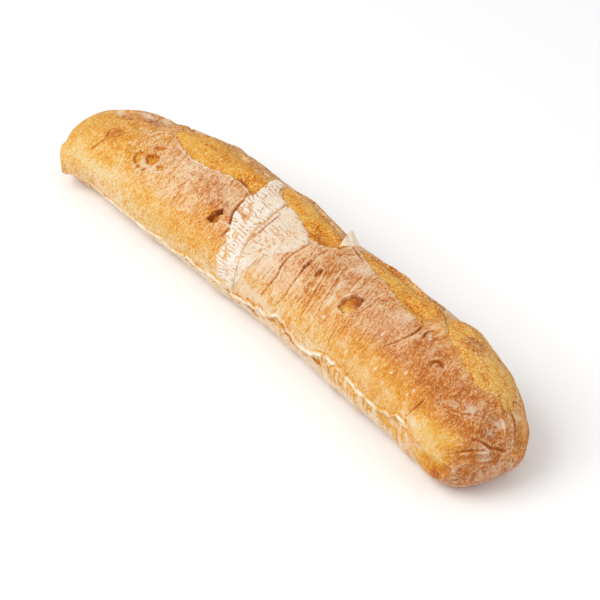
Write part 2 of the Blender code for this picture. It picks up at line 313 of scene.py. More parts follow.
# Bridges of skin between slashes, ridges and soft folds: height, reach and path. Those
# narrower than the broad ones are scuffed pale along their tops
BROAD_FOLD = 3.5
FOLDS = (
    (0.9, 9.0, ((-43, 26), (-38, 10), (-33, -10))),
    (1.2, 10.0, ((34, 30), (38, 14), (42, -8))),
    (1.8, 7.0, ((107, 34), (113, 27), (124, 14))),
    (1.1, 3.0, ((-20, 8), (-15, -34), (-13, -90))),
    (1.2, 1.9, ((-134, -46), (-136, -35), (-139, -20), (-139, -11), (-138, -4), (-135, 1),
                (-130, 5))),
    (0.8, 1.6, ((-130, -22), (-132, -12), (-131, -3), (-127, 4), (-119, 9))),
    (0.5, 1.2, ((-157, -82), (-150, -92), (-144, -104))),
    (0.5, 1.2, ((-151, -84), (-145, -90), (-139, -96))),
    (0.8, 2.2, ((-130, -44), (-118, -47), (-111, -38), (-110, -26))),
    (0.8, 2.4, ((37, -4), (42, -24), (43, -60))),
    (0.9, 3.4, ((55, 2), (63, -30), (66, -74))),
    (1.0, 5.0, ((-184, 10), (-168, 26), (-150, 36))),
    (0.7, 2.0, ((-43, -47), (-38, -41), (-33, -40), (-30, -46))),
    (0.6, 1.6, ((-41, -38), (-37, -30), (-40, -24))),
    (1.2, 1.8, ((193, -62), (196, -48), (198, -31))),
    (1.0, 1.8, ((194, -77), (198, -66), (199, -54), (199.5, -44))),
    (0.8, 1.6, ((178, -100), (184, -107), (190, -108))),
    (0.7, 1.4, ((183, -98), (189, -103), (195, -104))),
    (1.1, 2.6, ((184, 20), (188, 29), (191, 36), (196, 48), (198, 55))),
    (0.9, 1.8, ((181, 19), (188, 20), (194, 22), (197, 18))),
    (1.0, 3.0, ((164, 6), (172, 10), (182, 14))),
    (0.7, 3.6, ((166, -50), (176, -30), (184, -6))),
    (0.7, 3.6, ((176, -58), (184, -40), (190, -20))),
    (0.6, 1.6, ((149, -66), (153, -73), (157, -75))),
    (0.9, 1.8, ((183, 36), (190, 46), (194, 59), (196, 70))),
    (2.4, 5.5, ((-190, -70), (-188, -84), (-184, -98))),
    (1.4, 3.0, ((178, -112), (186, -108), (192, -92))),
)

# Creases and cracks: depth, half width, how dark they are inside, and path. Their darkness is
# browner crust, and in some of them painted shade in the groove
CREASES = (
    # Dark partly as painted shade in the hollow along the cake's left edge
    (2.0, 1.15, 1.0, ((-39, -11), (-37, -23), (-34, -33), (-30.5, -42), (-32, -52))),
    (1.1, 0.9, 0.50, ((21, -2), (20.5, -17), (19.5, -34), (21, -48), (19, -62), (15, -77))),
    (1.1, 0.9, 0.45, ((32, 1), (31.5, -10), (33, -27), (34, -42), (33, -60), (28, -76))),
    (0.7, 0.8, 0.35, ((41, 5), (47, -20), (52, -47), (52, -74))),
    (0.6, 0.7, 0.30, ((49, 6), (58, -28), (62, -59), (58, -79))),
    (0.5, 0.7, 0.20, ((64, 4), (70, -4), (70, -14))),
    # Dark partly as painted shadow below a pale fold
    (1.3, 1.0, 0.8, ((32.5, -27), (33, -21), (33, -15))),
    (1.5, 1.1, 0.6, ((33, 22), (40, 21.5), (48, 19.5))),
    (0.7, 0.7, 0.30, ((86, 7), (84, -4), (86, -15), (85, -26))),
    (1.3, 1.0, 0.75, ((118, 2), (120, -7), (119, -17))),
    (0.7, 0.9, 0.3, ((119, -17), (117, -26), (114, -34))),
    (0.7, 0.8, 0.35, ((79, -46), (78, -60), (78, -74), (74, -96))),
    (0.9, 0.75, 0.7, ((158, -43), (156, -54), (153, -68))),
    (1.4, 1.2, 0.8, ((104, 26), (106, 19), (112, 13), (116, 7))),
    (2.2, 1.7, 0.6, ((156, 48), (164, 38), (170, 33), (176, 24), (182, 23))),
    (1.0, 1.2, 0.5, ((182, 23), (188, 40), (194, 48), (198, 60))),
    (1.4, 1.1, 1.0, ((-165, -19), (-162, -28), (-162, -38), (-165, -53))),
    (0.5, 0.7, 0.25, ((-166, -22), (-164, -18), (-158, -16), (-152, -18))),
    (0.7, 0.7, 0.35, ((-136, -26), (-136.5, -18), (-136, -10), (-135, -3), (-131, 3),
                      (-123, 8))),
    (0.6, 0.8, 0.25, ((191, -62), (195, -46), (197, -31))),
    (0.9, 1.1, 0.34, ((190, -38), (194, -26), (197, -18), (198, -4), (199, 25), (199, 55))),
    (0.8, 1.0, 0.5, ((-126, 12), (-124, 2), (-121, -6))),
    (0.6, 0.7, 0.30, ((-20, 12), (-13, -4), (-11, -28), (-8, -56), (-7, -80))),
    (0.5, 0.7, 0.25, ((8, -14), (9, -34), (3, -62))),
    (0.5, 0.7, 0.25, ((14, -8), (17, -28), (13, -56), (10, -74))),
    (0.6, 0.7, 0.3, ((-84, -8), (-80, -24), (-82, -40))),
    (0.6, 0.7, 0.3, ((-62, -4), (-57, -18), (-57, -32))),
    (0.5, 0.8, 0.15, ((170, -34), (180, -22), (186, -4))),
    (1.0, 0.8, 0.9, ((125, 4), (124, -1), (126, -6))),
    (0.8, 0.7, 0.8, ((130, -5), (132, -1), (131, 3))),
    # Painted shadow: a dark crescent above the small bump at 149 along, -18 round
    (1.4, 1.4, 0.7, ((144.5, -19), (144, -14), (147, -10), (151, -11))),
)

# Burst blisters and tears, with steep walls: depth, how dark their floor is, how free of flour
# it is, and outline
OPENINGS = (
    (4.2, 0.42, 1.0, ((-49, -47), (-48, -38), (-44, -31), (-41, -35), (-43, -39), (-40, -44),
                     (-45, -48))),
    (3.0, 0.28, 0.40, ((70, -34), (69, -24), (72, -16), (79, -14), (81, -22), (80, -32),
                       (76, -36))),
    (2.0, 0.3, 1.0, ((43, -27), (41, -22), (42.5, -16), (44.5, -21))),
    (1.9, 0.12, 1.0, ((-131, -38), (-133, -32), (-131, -27), (-128, -27), (-127, -33),
                      (-125, -38), (-125, -42), (-128, -42))),
    (2.4, 0.15, 1.0, ((-123, -31), (-123, -26), (-119, -22.5), (-115, -23), (-111, -28),
                      (-113, -34), (-119, -36))),
    (1.0, 0.3, 1.0, ((-125, -19), (-124, -14), (-120, -11), (-116, -11), (-120, -17))),
    (0.9, 0.4, 1.0, ((-124, -43), (-122, -41), (-121, -45), (-123, -47))),
    (0.9, 0.4, 1.0, ((-118, -42), (-116, -41), (-115, -44), (-117, -46))),
    (0.8, 0.20, 0.8, ((-109, -33), (-106, -29), (-103, -33), (-106, -37))),
    (1.0, 0.20, 1.0, ((-19, -97), (-12, -96), (-17, -103))),
    (1.0, 0.20, 1.0, ((22, -91), (29, -90), (24, -97))),
    (1.0, 0.20, 1.0, ((30, -88), (42, -88), (50, -98), (40, -94))),
    (1.0, 0.20, 1.0, ((64, -94), (74, -90), (70, -100))),
    (1.0, 0.20, 1.0, ((-105, -104), (-97, -104), (-101, -110))),
    (1.0, 0.20, 1.0, ((-60, -98), (-53, -97), (-57, -104))),
    (1.2, 0.25, 1.0, ((0, -98), (8, -99), (6, -106), (2, -104))),
)

# Hollows, crests and bumps with soft sides: height, reach along, reach round, and place
SPOTS = (
    (1.5, 2.4, 2.4, 128, -1),
    (0.7, 4.0, 4.0, 149, -18),
    (-1.2, 16.0, 14.0, 154, -24),
    (1.8, 3.2, 3.2, 192, -88),
    (-2.4, 22.0, 14.0, -165, -108),
    (2.0, 10.0, 14.0, 197, 128),
    (-1.8, 12.0, 13.0, -145, 50),
    (-1.4, 12.0, 12.0, 70, -104),
    (-1.0, 12.0, 9.0, 183, -30),
    (-0.9, 10.0, 7.0, 132, -26),
    (-0.8, 8.0, 6.0, 106, -20),
    (0.9, 3.0, 3.0, -106, -34),
    (0.8, 2.0, 2.0, -120, -39),
    (0.8, 1.8, 1.8, -116, -39),
    (0.9, 2.2, 2.2, -112, -42),
    (0.8, 2.0, 2.0, -117, -47),
    (0.7, 2.0, 2.0, -107, -42),
)

# Short marks that flour left: places of their middles, half their size along the loaf and
# round it, and how pale they are
MARKS = (
    (-148, -24), (-145, -19), (-146, -39), (-145, -45), (-156, -10), (-150, -3), (-128, -18),
    (-124, -72), (-98, -80), (122, -48), (130, -40), (142, -46), (140, -53), (101, -28), (128, -1),
    (129, -3), (-142, -1), (-131, 2), (112, -56), (-120, -56), (-136, -58), (60, -50), (88, -62),
)
MARK_REACH = (0.9, 2.0)
MARK_PALE = 0.8

# Hollows and crests of the crumb in the slashes: height, reach along, reach round, and place
CRUMB_SPOTS = (
    (-3.4, 7.0, 6.5, -132, 22),
    (-2.6, 12.0, 13.0, -131, 40),
    (-3.2, 15.0, 8.0, -50, 3),
    (-3.4, 16.0, 9.0, 24, 11),
    (-3.0, 14.0, 7.0, 104, 11),
    (-2.8, 7.0, 7.0, 100, 36),
    (2.4, 26.0, 13.0, -84, 42),
    (1.4, 18.0, 13.0, -14, 44),
    (3.0, 18.0, 13.0, 131, 44),
    (-1.6, 14.0, 12.0, -46, 44),
    (-1.2, 14.0, 12.0, 159, 46),
)

# The seams low on each side, where the loaf lay against its cloth: the front one as places
# along it, the back one as angles at the nine stations; then how far the band below each is
# set in, and how white the rim of each is, at the nine stations
FRONT_SEAM = (
    (-200, -98), (-150, -102), (-105, -101), (-98, -105), (-86, -100), (-70, -103), (-56, -95),
    (-45, -98), (-24, -96), (-10, -99), (4, -95), (19, -92), (25, -90), (32, -82), (40, -84),
    (54, -91), (64, -90), (75, -84), (86, -81), (98, -84), (110, -87), (130, -88), (140, -82),
    (149, -74), (160, -76), (200, -88),
)
BACK_SEAM = (96, 99, 97, 93, 95, 98, 92, 90, 96)
FRONT_SET_IN = (1.0, 1.6, -0.2, 0.6, 0.1, 1.2, -0.9, 2.4, 0.2)
BACK_SET_IN = (1.0, 1.2, 0.6, 1.4, 1.0, 1.6, 0.8, 1.4, 0.4)
RIM_WHITE = (0.2, 0.6, 0.8, 0.9, 0.9, 1.0, 1.0, 1.0, 0.4)

# Height and reach of the rim along each seam; the distances below it over which the band sinks
# in, where it ends, and over which it fades out there; and the places where the seams end, over
# how much
SEAM_RIM = 1.0
SEAM_RIM_REACH = 2.0
SEAM_REACH = 4.5
BAND_DEPTH = 40.0
BAND_FADE = 16.0
SEAM_ENDS = (-176.0, 152.0)
SEAM_ENDS_OVER = 12.0

# Above this height the skin carries its full relief; the base carries none. Slashes and seams
# are whole where the section keeps the larger part of its size, and gone where it keeps the
# smaller
RELIEF_FROM = 5.0
WHOLE_AT = 0.72
GONE_AT = 0.27

# Wrinkles across the loaf lean toward the near end on the front side, by this much halfway down
# these degrees; then how narrow their ridges are
WRINKLE_LEAN = 7.0
WRINKLE_LEAN_OVER = 85.0
RIDGE_SHARPNESS = 2.4


def wrinkle_points(points, degrees):
    """Points shifted along the loaf so that straight wrinkles come out leaning."""
    lean = np.sin(np.pi * np.clip(-degrees / WRINKLE_LEAN_OVER, 0.0, 1.0))
    shifted = points.copy()
    shifted[:, 0] -= WRINKLE_LEAN * lean
    return shifted


def lean_of(points, degrees):
    """How far wrinkles lean at each point, in metres, for the grain of a material."""
    return (points[:, 0] - wrinkle_points(points, degrees)[:, 0]) * MM


def ridges(values):
    """Turns noise into narrow ridges: 1 on the ridge, 0 in the valleys."""
    return np.clip(1.0 - RIDGE_SHARPNESS * np.abs(values), 0.0, 1.0)


# How strongly the skin is wrinkled across the loaf at the nine stations, at each angle
WRINKLED = (
    (-5, (0.05, 0.25, 0.80, 0.62, 0.50, 0.65, 0.55, 0.40, 0.45)),
    (-40, (0.03, 0.08, 0.50, 0.38, 0.60, 0.60, 0.35, 0.18, 0.45)),
    (-75, (0.03, 0.08, 0.12, 0.14, 0.50, 0.40, 0.18, 0.18, 0.40)),
    (-110, (0.10, 0.10, 0.10, 0.10, 0.10, 0.10, 0.10, 0.10, 0.20)),
    (60, (0.20, 0.35, 0.35, 0.35, 0.35, 0.35, 0.35, 0.35, 0.35)),
    (120, (0.10, 0.10, 0.10, 0.10, 0.10, 0.10, 0.10, 0.10, 0.10)),
)


def across_bands(x, degrees, bands):
    """A value given at nine stations for each of several angles, smooth between them."""
    t = (x + HALF) / LENGTH
    ordered = sorted(bands)
    angles = np.array([angle for angle, _ in ordered], dtype=float)
    values = np.array([curve(t, numbers) for _, numbers in ordered])
    angles = np.concatenate((angles, [angles[0] + 360.0]))
    values = np.concatenate((values, values[:1]))
    turned = np.where(degrees < angles[0], degrees + 360.0, degrees)
    i = np.clip(np.searchsorted(angles, turned, side="right") - 1, 0, len(angles) - 2)
    f = ease((turned - angles[i]) / (angles[i + 1] - angles[i]))
    column = np.arange(len(x))
    return values[i, column] * (1.0 - f) + values[i + 1, column] * f


# The seams wander in long waves and in short teeth: amount, size and seed
SEAM_WAVES = (1.2, (9.0, 60.0, 60.0), 11)
SEAM_TEETH = ((0.9, (2.6, 30.0, 30.0), 14),)


def seam_sides(x, degrees, points):
    """For each seam: distance below it in millimetres, and how far its band is set in."""
    t = (x + HALF) / LENGTH
    amount, size, seed = SEAM_WAVES
    wander = amount * layered_noise(points, size, seed) + ragged_by(points, SEAM_TEETH)
    front = -(degrees - np.interp(x, *zip(*FRONT_SEAM))) * ARC + wander
    back = (degrees - curve(t, BACK_SEAM)) * ARC + wander
    return (front, curve(t, FRONT_SET_IN)), (back, curve(t, BACK_SET_IN))


def crumb_height(x, degrees, points, slash):
    """Height of the crumb in one slash above the plain loaf."""
    height = slash_shape(x, degrees, slash)[1]
    for amount, along, around, at, angle in CRUMB_SPOTS:
        height = height + amount * bell(spot_distance(points, along, around, at, angle))
    return height


def swell_height(x, degrees):
    """Height of the slow unevenness that skin and crumb share."""
    height = np.zeros_like(x)
    for amount, waves, turns, phase in SWELLS:
        along = 2 * np.pi * waves * x / LENGTH
        height += amount * np.sin(along + phase) * np.cos(turns * np.radians(degrees) + 2 * phase)
    return height


def wholeness(x, degrees):
    """1 where slashes and seams have their full relief, and 0 at the tips, where they die out."""
    kept = end_shrink(x, np.radians(degrees))
    return np.clip((kept - GONE_AT) / (WHOLE_AT - GONE_AT), 0.0, 1.0)


def patchy(points, share, spread, size, seed, least=0.0):
    """A share that changes from place to place and stays between its least and 1."""
    return np.clip(share + spread * noise(points, size, seed), least, 1.0)


# The band below each seam dried into plates, with veins between them, and is stroked round the
# loaf. Another vein runs above the seam. Rim and veins are broken: their middle share, how far
# it spreads, and the size and seed of what breaks them
BAND_PLATES = (9.0, 5.0)
BAND_PLATES_SEED = 16
BAND_PLATES_WARP = 1.5
BAND_STARTS_OVER = 1.5
PLATE_HEIGHT = 0.35
PLATE_ROUNDING = 1.6
PLATE_LEVEL = 0.6
VEIN_HALF_WIDTH = 0.6
VEIN_DEPTH = 0.25
VEINS_START = (0.4, 1.0)
VEINS_END = (6.0, 5.0)
VEIN_BREAKS = {"share": 0.6, "spread": 1.6, "size": 7.0, "seed": 17}
UPPER_VEIN = {"above": 2.0, "half_width": 0.9, "share": 0.7}
RIM_HALF_WIDTH = 1.7
RIM_BREAKS = {"share": 0.70, "spread": 2.0, "size": 4.0, "seed": 15, "least": 0.05}
STROKE_HEIGHT = 0.30
STROKE_SIZE = (1.6, 10.0, 10.0)
STROKE_SEED = 18
STROKE_WARP = 0.6


def seam_relief(x, degrees, plain, warp, whole):
    """The seams and their bands: height, and masks of the white rim, the band, its veins and
    its strokes."""
    seamed = ease((x - SEAM_ENDS[0]) / SEAM_ENDS_OVER)
    seamed = seamed * ease((SEAM_ENDS[1] - x) / SEAM_ENDS_OVER + 1)
    whitest = curve((x + HALF) / LENGTH, RIM_WHITE)
    warped = (x + BAND_PLATES_WARP * warp[:, 0], degrees * ARC + BAND_PLATES_WARP * warp[:, 1])
    crazed = plates(*warped, BAND_PLATES, BAND_PLATES_SEED)
    broken = patchy(plain, **RIM_BREAKS)
    creased = patchy(plain, **VEIN_BREAKS)
    height, rim, band, vein = (np.zeros_like(x) for _ in range(4))
    for below, set_in in seam_sides(x, degrees, plain):
        fade = np.clip((BAND_DEPTH - below) / BAND_FADE, 0.0, 1.0)
        sunk = np.clip(below / SEAM_REACH, 0.0, 1.0) * fade
        height += SEAM_RIM * bell(below / SEAM_RIM_REACH) - set_in * sunk
        white = bell(below / RIM_HALF_WIDTH) * broken * whole * seamed
        rim = np.maximum(rim, white * whitest)
        band = np.maximum(band, ease(below / BAND_STARTS_OVER + 0.5) * whole)
        upper = bell((below + UPPER_VEIN["above"]) / UPPER_VEIN["half_width"])
        upper = UPPER_VEIN["share"] * upper * creased * whole * seamed
        between = (1.0 - ease(crazed / VEIN_HALF_WIDTH)) * creased * seamed
        between = between * ease((below - VEINS_START[0]) / VEINS_START[1])
        between = between * ease(1.0 - (below - VEINS_END[0]) / VEINS_END[1])
        vein = np.maximum(vein, np.maximum(upper, between))
    plate = ease(crazed / PLATE_ROUNDING) - PLATE_LEVEL
    height += PLATE_HEIGHT * band * seamed * plate - VEIN_DEPTH * vein
    stroke = layered_noise(plain + STROKE_WARP * warp, STROKE_SIZE, STROKE_SEED, 2)
    stroke = stroke * band * seamed
    height += STROKE_HEIGHT * stroke
    return height, {"rim": rim, "band": band, "vein": vein, "stroke": stroke}


# Inside a slash the skin dives this far under the crumb, over this distance, which starts this
# far outside the slash's edge. The edge is frayed: amounts, sizes and seeds. Its pale torn rim
# lies this far outside it and is half this wide
SKIN_DIVE = 1.7
SKIN_DIVE_OVER = 1.3
SKIN_DIVE_FROM = 0.3
FRAYED = ((0.9, 3.0, 51), (0.4, 1.2, 52))
PALE_RIM_AT = 0.6
PALE_RIM_HALF_WIDTH = 0.8


def slash_relief(x, degrees, plain, opened):
    """The slashes: height of the skin beside them, its height where it lies under the crumb,
    how far it has dived there, and how pale its torn rim is."""
    height, under, gap, lip = (np.zeros_like(x) for _ in range(4))
    frayed = ragged_by(plain, FRAYED)
    for slash in SLASHES:
        inside, _, beside = slash_shape(x, degrees, slash)
        inside = inside + frayed
        first, last = slash["span"]
        within = (x > first) & (x < last)
        height += np.where(within, beside, 0.0)
        deep = crumb_height(x, degrees, plain, slash) + swell_height(x, degrees) - SKIN_DIVE
        dived = ease((inside + SKIN_DIVE_FROM) / SKIN_DIVE_OVER)
        dived = np.where(within & opened, dived, 0.0)
        under = np.where(dived > 0, deep, under)
        gap = np.maximum(gap, dived)
        pale = slash["pale"] * bell((inside + PALE_RIM_AT) / PALE_RIM_HALF_WIDTH)
        lip = np.maximum(lip, np.where(within, pale, 0.0))
    return height, under, gap, lip


# Folds and creases fade toward the ends of their paths, which lie this far along a half wave.
# Narrow folds are scuffed over this share of their reach. Beside a crease the skin is raised
# and painted paler, a painted highlight where its raised sides catch the light
PATH_ENDS = (0.08, 0.92)
SCUFFED_SHARE = 0.7
CREASE_SIDE = {"height": 0.25, "at": 1.6, "reach": 1.2, "lit_paler": 0.32}


def tapered(reached):
    """How strong a fold or crease is along its path: full in the middle, less at its ends."""
    start, end = PATH_ENDS
    return np.sin(np.pi * np.clip(start + (end - start) * reached, 0.0, 1.0)) ** 0.5


def fold_relief(points, scuffs):
    """The folds and creases: height, and masks of the cracks, partly painted shade, and of the
    shoulders: scuffed along narrow folds, a painted highlight beside creases.
    """
    height, crack, shoulder = (np.zeros(len(points)) for _ in range(3))
    for amount, reach, path in FOLDS:
        away, reached = path_distance(points, path)
        height += amount * bell(away / reach)
        if reach < BROAD_FOLD:
            top = bell(away / (SCUFFED_SHARE * reach)) * tapered(reached)
            shoulder = np.maximum(shoulder, scuffs * top)
    for depth, half_width, dark, path in CREASES:
        away, reached = path_distance(points, path)
        groove = bell(away / half_width) * tapered(reached)
        side = (away - CREASE_SIDE["at"] * half_width) / (CREASE_SIDE["reach"] * half_width)
        side = bell(side) * tapered(reached)
        height += CREASE_SIDE["height"] * depth * side - depth * groove
        crack = np.maximum(crack, dark * groove)
        # Painted highlight: the raised sides beside a crease are made paler, less baked and more floured
        shoulder = np.maximum(shoulder, CREASE_SIDE["lit_paler"] * side)
    return height, crack, shoulder


# Burst blisters have ragged edges: amounts, sizes and seeds. Their walls fall over this
# distance and are darker than their floors. A lip is raised round them, and is scuffed
RAGGED = ((0.35, 2.0, 22), (0.2, 1.0, 23))
WALL_OVER = 0.9
WALL_STARTS = 0.4
WALL = {"at": 0.2, "reach": 1.0, "darker": 0.35}
OPENING_LIP = {"height": 0.35, "at": 1.2, "reach": 1.0}
OPENING_SCUFF = {"share": 0.45, "at": 1.0, "reach": 0.9}


def opening_relief(x, degrees, plain, scuffs):
    """The burst blisters: height, and masks of the holes, of what is bare of flour and of the
    scuffed shoulders."""
    height, hole, bare, shoulder = (np.zeros_like(x) for _ in range(4))
    ragged = ragged_by(plain, RAGGED)
    for depth, dark, swept, outline in OPENINGS:
        into = outline_distance(x, degrees, outline) + ragged
        share = ease(into / WALL_OVER + WALL_STARTS)
        wall = bell((into - WALL["at"]) / WALL["reach"])
        lip = bell((into + OPENING_LIP["at"]) / OPENING_LIP["reach"])
        height += OPENING_LIP["height"] * lip - depth * share
        hole = np.maximum(hole, dark * share)
        hole = np.maximum(hole, (dark + WALL["darker"] * swept) * wall)
        bare = np.maximum(bare, swept * share)
        scuff = bell((into + OPENING_SCUFF["at"]) / OPENING_SCUFF["reach"])
        shoulder = np.maximum(shoulder, OPENING_SCUFF["share"] * scuffs * scuff)
    return height, hole, bare, shoulder


# What bends the paths and the wrinkles: its size and seeds, and by how much it bends each
WARP_SIZE = 7.0
WARP_SEEDS = (21, 31, 41)
PATH_WARP = 0.7
WRINKLE_WARP = 0.35

# How scuffed the shoulders are, as for the broken rims
SCUFFS = {"share": 0.5, "spread": 1.2, "size": 4.0, "seed": 24}

# Wrinkles across the loaf, coarse and fine: sizes and seeds, the share of the coarse ones, their
# height, the level that lies flush with the plain loaf, and the strength at which their mask is
# full. Then lumps and grain: height, size and seed
COARSE_WRINKLES = ((2.3, 26.0, 26.0), 61)
FINE_WRINKLES = ((1.3, 12.0, 12.0), 71)
COARSE_SHARE = 0.6
WRINKLE_HEIGHT = 0.95
WRINKLE_LEVEL = 0.4
WRINKLE_CONTRAST = 2.0
FULL_WRINKLE = 0.5
LUMPS = (0.12, 3.2, 81)
GRAIN = ((0.08, 1.1, 84),)


def skin(x, degrees, opened=True):
    """Points of the skin, opened along the slashes or whole, and the masks that its material
    reads."""
    plain = body(x, degrees)
    whole = wholeness(x, degrees)
    warp = np.stack([layered_noise(plain, WARP_SIZE, seed) for seed in WARP_SEEDS], axis=1)
    leaning = wrinkle_points(plain + WRINKLE_WARP * warp, degrees)
    scuffs = patchy(plain, **SCUFFS)

    seams, masks = seam_relief(x, degrees, plain, warp, whole)
    beside, under, gap, lip = slash_relief(x, degrees, plain, opened)
    height = (swell_height(x, degrees) + seams + beside) * whole
    folds, crack, shoulder = fold_relief(plain + PATH_WARP * warp, scuffs)
    openings, hole, bare, opening_shoulder = opening_relief(x, degrees, plain, scuffs)
    height += folds + openings
    for amount, along, around, at, angle in SPOTS:
        height += amount * bell(spot_distance(plain, along, around, at, angle))
    for at, angle in MARKS:
        mark = bell(spot_distance(leaning, *MARK_REACH, at, angle))
        lip = np.maximum(lip, MARK_PALE * mark)

    strength = across_bands(x, degrees, WRINKLED) * (1.0 - masks.pop("band"))
    strength = strength * (1.0 - np.minimum(hole, 1.0))
    size, seed = COARSE_WRINKLES
    wrinkle = COARSE_SHARE * ridges(layered_noise(leaning, size, seed, 2)) - WRINKLE_LEVEL
    size, seed = FINE_WRINKLES
    wrinkle += (1.0 - COARSE_SHARE) * ridges(layered_noise(leaning, size, seed, 2))
    amount, size, seed = LUMPS
    lumps = layered_noise(plain, size, seed)
    height += WRINKLE_HEIGHT * strength * wrinkle + ragged_by(plain, GRAIN) + amount * lumps
    height = height * (1.0 - gap) + under * gap
    height *= np.clip(plain[:, 2] / RELIEF_FROM, 0.0, 1.0)
    masks["lip"] = lip
    masks["crack"] = crack
    masks["shoulder"] = np.maximum(shoulder, opening_shoulder)
    masks["hole"] = hole
    masks["bare"] = np.maximum(bare, gap)
    masks["wrinkle"] = WRINKLE_CONTRAST * wrinkle * np.clip(strength / FULL_WRINKLE, 0.0, 1.0)
    masks["lump"] = lumps
    masks["lean"] = lean_of(plain, degrees)
    return plain + outward(x, degrees) * height[:, None], masks


# How far the skin is baked, from 0, pale cream, to 1, dark brown, and how much of it flour
# covers, at the nine stations, at each angle
BAKED = (
    (48, (0.46, 0.60, 0.50, 0.54, 0.52, 0.60, 0.52, 0.50, 0.70)),
    (18, (0.42, 0.60, 0.50, 0.52, 0.50, 0.60, 0.54, 0.54, 0.74)),
    (-12, (0.30, 0.46, 0.56, 0.62, 0.60, 0.66, 0.66, 0.74, 0.72)),
    (-30, (0.32, 0.42, 0.48, 0.64, 0.60, 0.58, 0.68, 0.74, 0.74)),
    (-50, (0.30, 0.34, 0.42, 0.52, 0.54, 0.52, 0.50, 0.54, 0.74)),
    (-70, (0.20, 0.20, 0.28, 0.38, 0.38, 0.34, 0.38, 0.40, 0.72)),
    (-90, (0.32, 0.24, 0.24, 0.32, 0.36, 0.38, 0.38, 0.36, 0.76)),
    (-108, (0.46, 0.38, 0.28, 0.28, 0.38, 0.42, 0.44, 0.40, 0.80)),
    (-145, (0.46, 0.46, 0.46, 0.46, 0.46, 0.46, 0.46, 0.46, 0.72)),
    (90, (0.46, 0.46, 0.46, 0.48, 0.50, 0.50, 0.48, 0.46, 0.70)),
    (135, (0.46, 0.48, 0.48, 0.50, 0.50, 0.50, 0.50, 0.48, 0.70)),
)
FLOURED = (
    (48, (0.42, 0.30, 0.48, 0.50, 0.56, 0.48, 0.72, 0.56, 0.34)),
    (18, (0.14, 0.28, 0.10, 0.28, 0.24, 0.52, 0.32, 0.32, 0.24)),
    (-12, (0.08, 0.14, 0.52, 0.44, 0.50, 0.38, 0.42, 0.28, 0.28)),
    (-30, (0.02, 0.06, 0.48, 0.34, 0.52, 0.38, 0.38, 0.18, 0.22)),
    (-50, (0.04, 0.04, 0.42, 0.28, 0.58, 0.37, 0.24, 0.16, 0.26)),
    (-70, (0.10, 0.34, 0.18, 0.18, 0.48, 0.26, 0.34, 0.30, 0.20)),
    (-90, (0.20, 0.52, 0.28, 0.40, 0.66, 0.66, 0.46, 0.46, 0.26)),
    (-108, (0.26, 0.95, 1.00, 1.00, 1.00, 0.95, 0.95, 0.70, 0.34)),
    (-145, (0.40, 0.60, 0.70, 0.70, 0.70, 0.70, 0.70, 0.60, 0.45)),
    (90, (0.25, 0.30, 0.30, 0.34, 0.34, 0.30, 0.30, 0.30, 0.20)),
    (135, (0.35, 0.45, 0.50, 0.50, 0.50, 0.50, 0.50, 0.45, 0.45)),
)

# Places that are baked or floured more or less than round them: amount, reach along and
# round, and place
BAKED_SPOTS = (
    (0.30, 11.0, 10.0, -159, -24),
    (0.26, 11.0, 6.0, -168, 4),
    (0.32, 14.0, 6.0, -152, 15),
    (-0.14, 14.0, 7.0, -170, -61),
    (-0.12, 12.0, 7.0, -152, -73),
    (0.08, 10.0, 10.0, 188, 0),
    (0.46, 5.5, 4.5, 78, -19),
    (-0.46, 7.0, 5.5, 75, -32),
    (0.30, 8.0, 8.0, 110, 16),
    (-0.10, 12.0, 12.0, 72, -32),
    (0.12, 20.0, 9.0, -50, -26),
    (0.20, 14.0, 7.0, -184, -104),
    (0.20, 12.0, 6.0, 184, -114),
    (-0.08, 14.0, 9.0, 170, -98),
    (-0.34, 18.0, 11.0, 170, -63),
    (-0.26, 11.0, 9.0, 174, -78),
    (-0.34, 9.0, 9.0, 184, -82),
    (-0.12, 14.0, 16.0, 190, 66),
    (-0.30, 12.0, 8.0, 184, -54),
)
FLOURED_SPOTS = (
    (0.50, 12.0, 4.5, -177, 9),
    (0.55, 15.0, 4.5, -163, 23),
    (0.35, 11.0, 4.5, -149, 27),
    (0.40, 4.5, 5.0, 191, 11),
    (0.32, 7.0, 5.0, 180, -13),
    (0.30, 5.0, 3.5, 172, -24),
    (0.25, 4.0, 3.0, 166, -33),
    (0.34, 5.0, 5.0, 193, -6),
    (0.30, 8.0, 9.0, 198, -40),
    (0.35, 2.8, 2.8, 192, -88),
    (-0.55, 18.0, 12.0, 177, -98),
    (0.20, 11.0, 7.0, 158, -67),
    (0.25, 10.0, 6.0, 60, 8),
    (0.22, 9.0, 7.0, 108, -3),
    (0.35, 9.0, 7.0, 151, -76),
    (0.35, 9.0, 5.0, 144, -88),
    (0.20, 9.0, 6.0, -66, -48),
    (-0.35, 10.0, 8.0, -47, -40),
    (0.18, 14.0, 14.0, 12, -46),
    (0.14, 13.0, 11.0, -121, -36),
    (0.30, 7.0, 5.0, 75, -31),
)

# How rough the grain of the skin is at the nine stations, and where it is smoother
ROUGH = (1.45, 1.45, 1.4, 1.3, 1.25, 1.15, 1.05, 1.0, 1.0)
SMOOTH_SPOTS = (
    (-0.35, 24.0, 18.0, 172, -70),
    (-0.20, 40.0, 18.0, 120, -60),
)


def with_spots(values, points, spots, most=1.0):
    """Values with soft spots added where the table says, from 0 to the most allowed."""
    for amount, along, around, at, angle in spots:
        values = values + amount * bell(spot_distance(points, along, around, at, angle))
    return np.clip(values, 0.0, most)


def ring_places(count):
    """Places of the rings along the loaf, evenly spaced over the crust from tip to tip."""
    samples = 4001
    x = HALF * np.sin(np.linspace(-np.pi / 2, np.pi / 2, samples))
    y = np.mean(HALF_WIDTHS) * end_shrink(x, np.full_like(x, np.pi / 2))
    walked = np.concatenate(([0.0], np.cumsum(np.hypot(np.diff(x), np.diff(y)))))
    return np.interp(np.linspace(0.0, walked[-1], count + 1), walked, x)


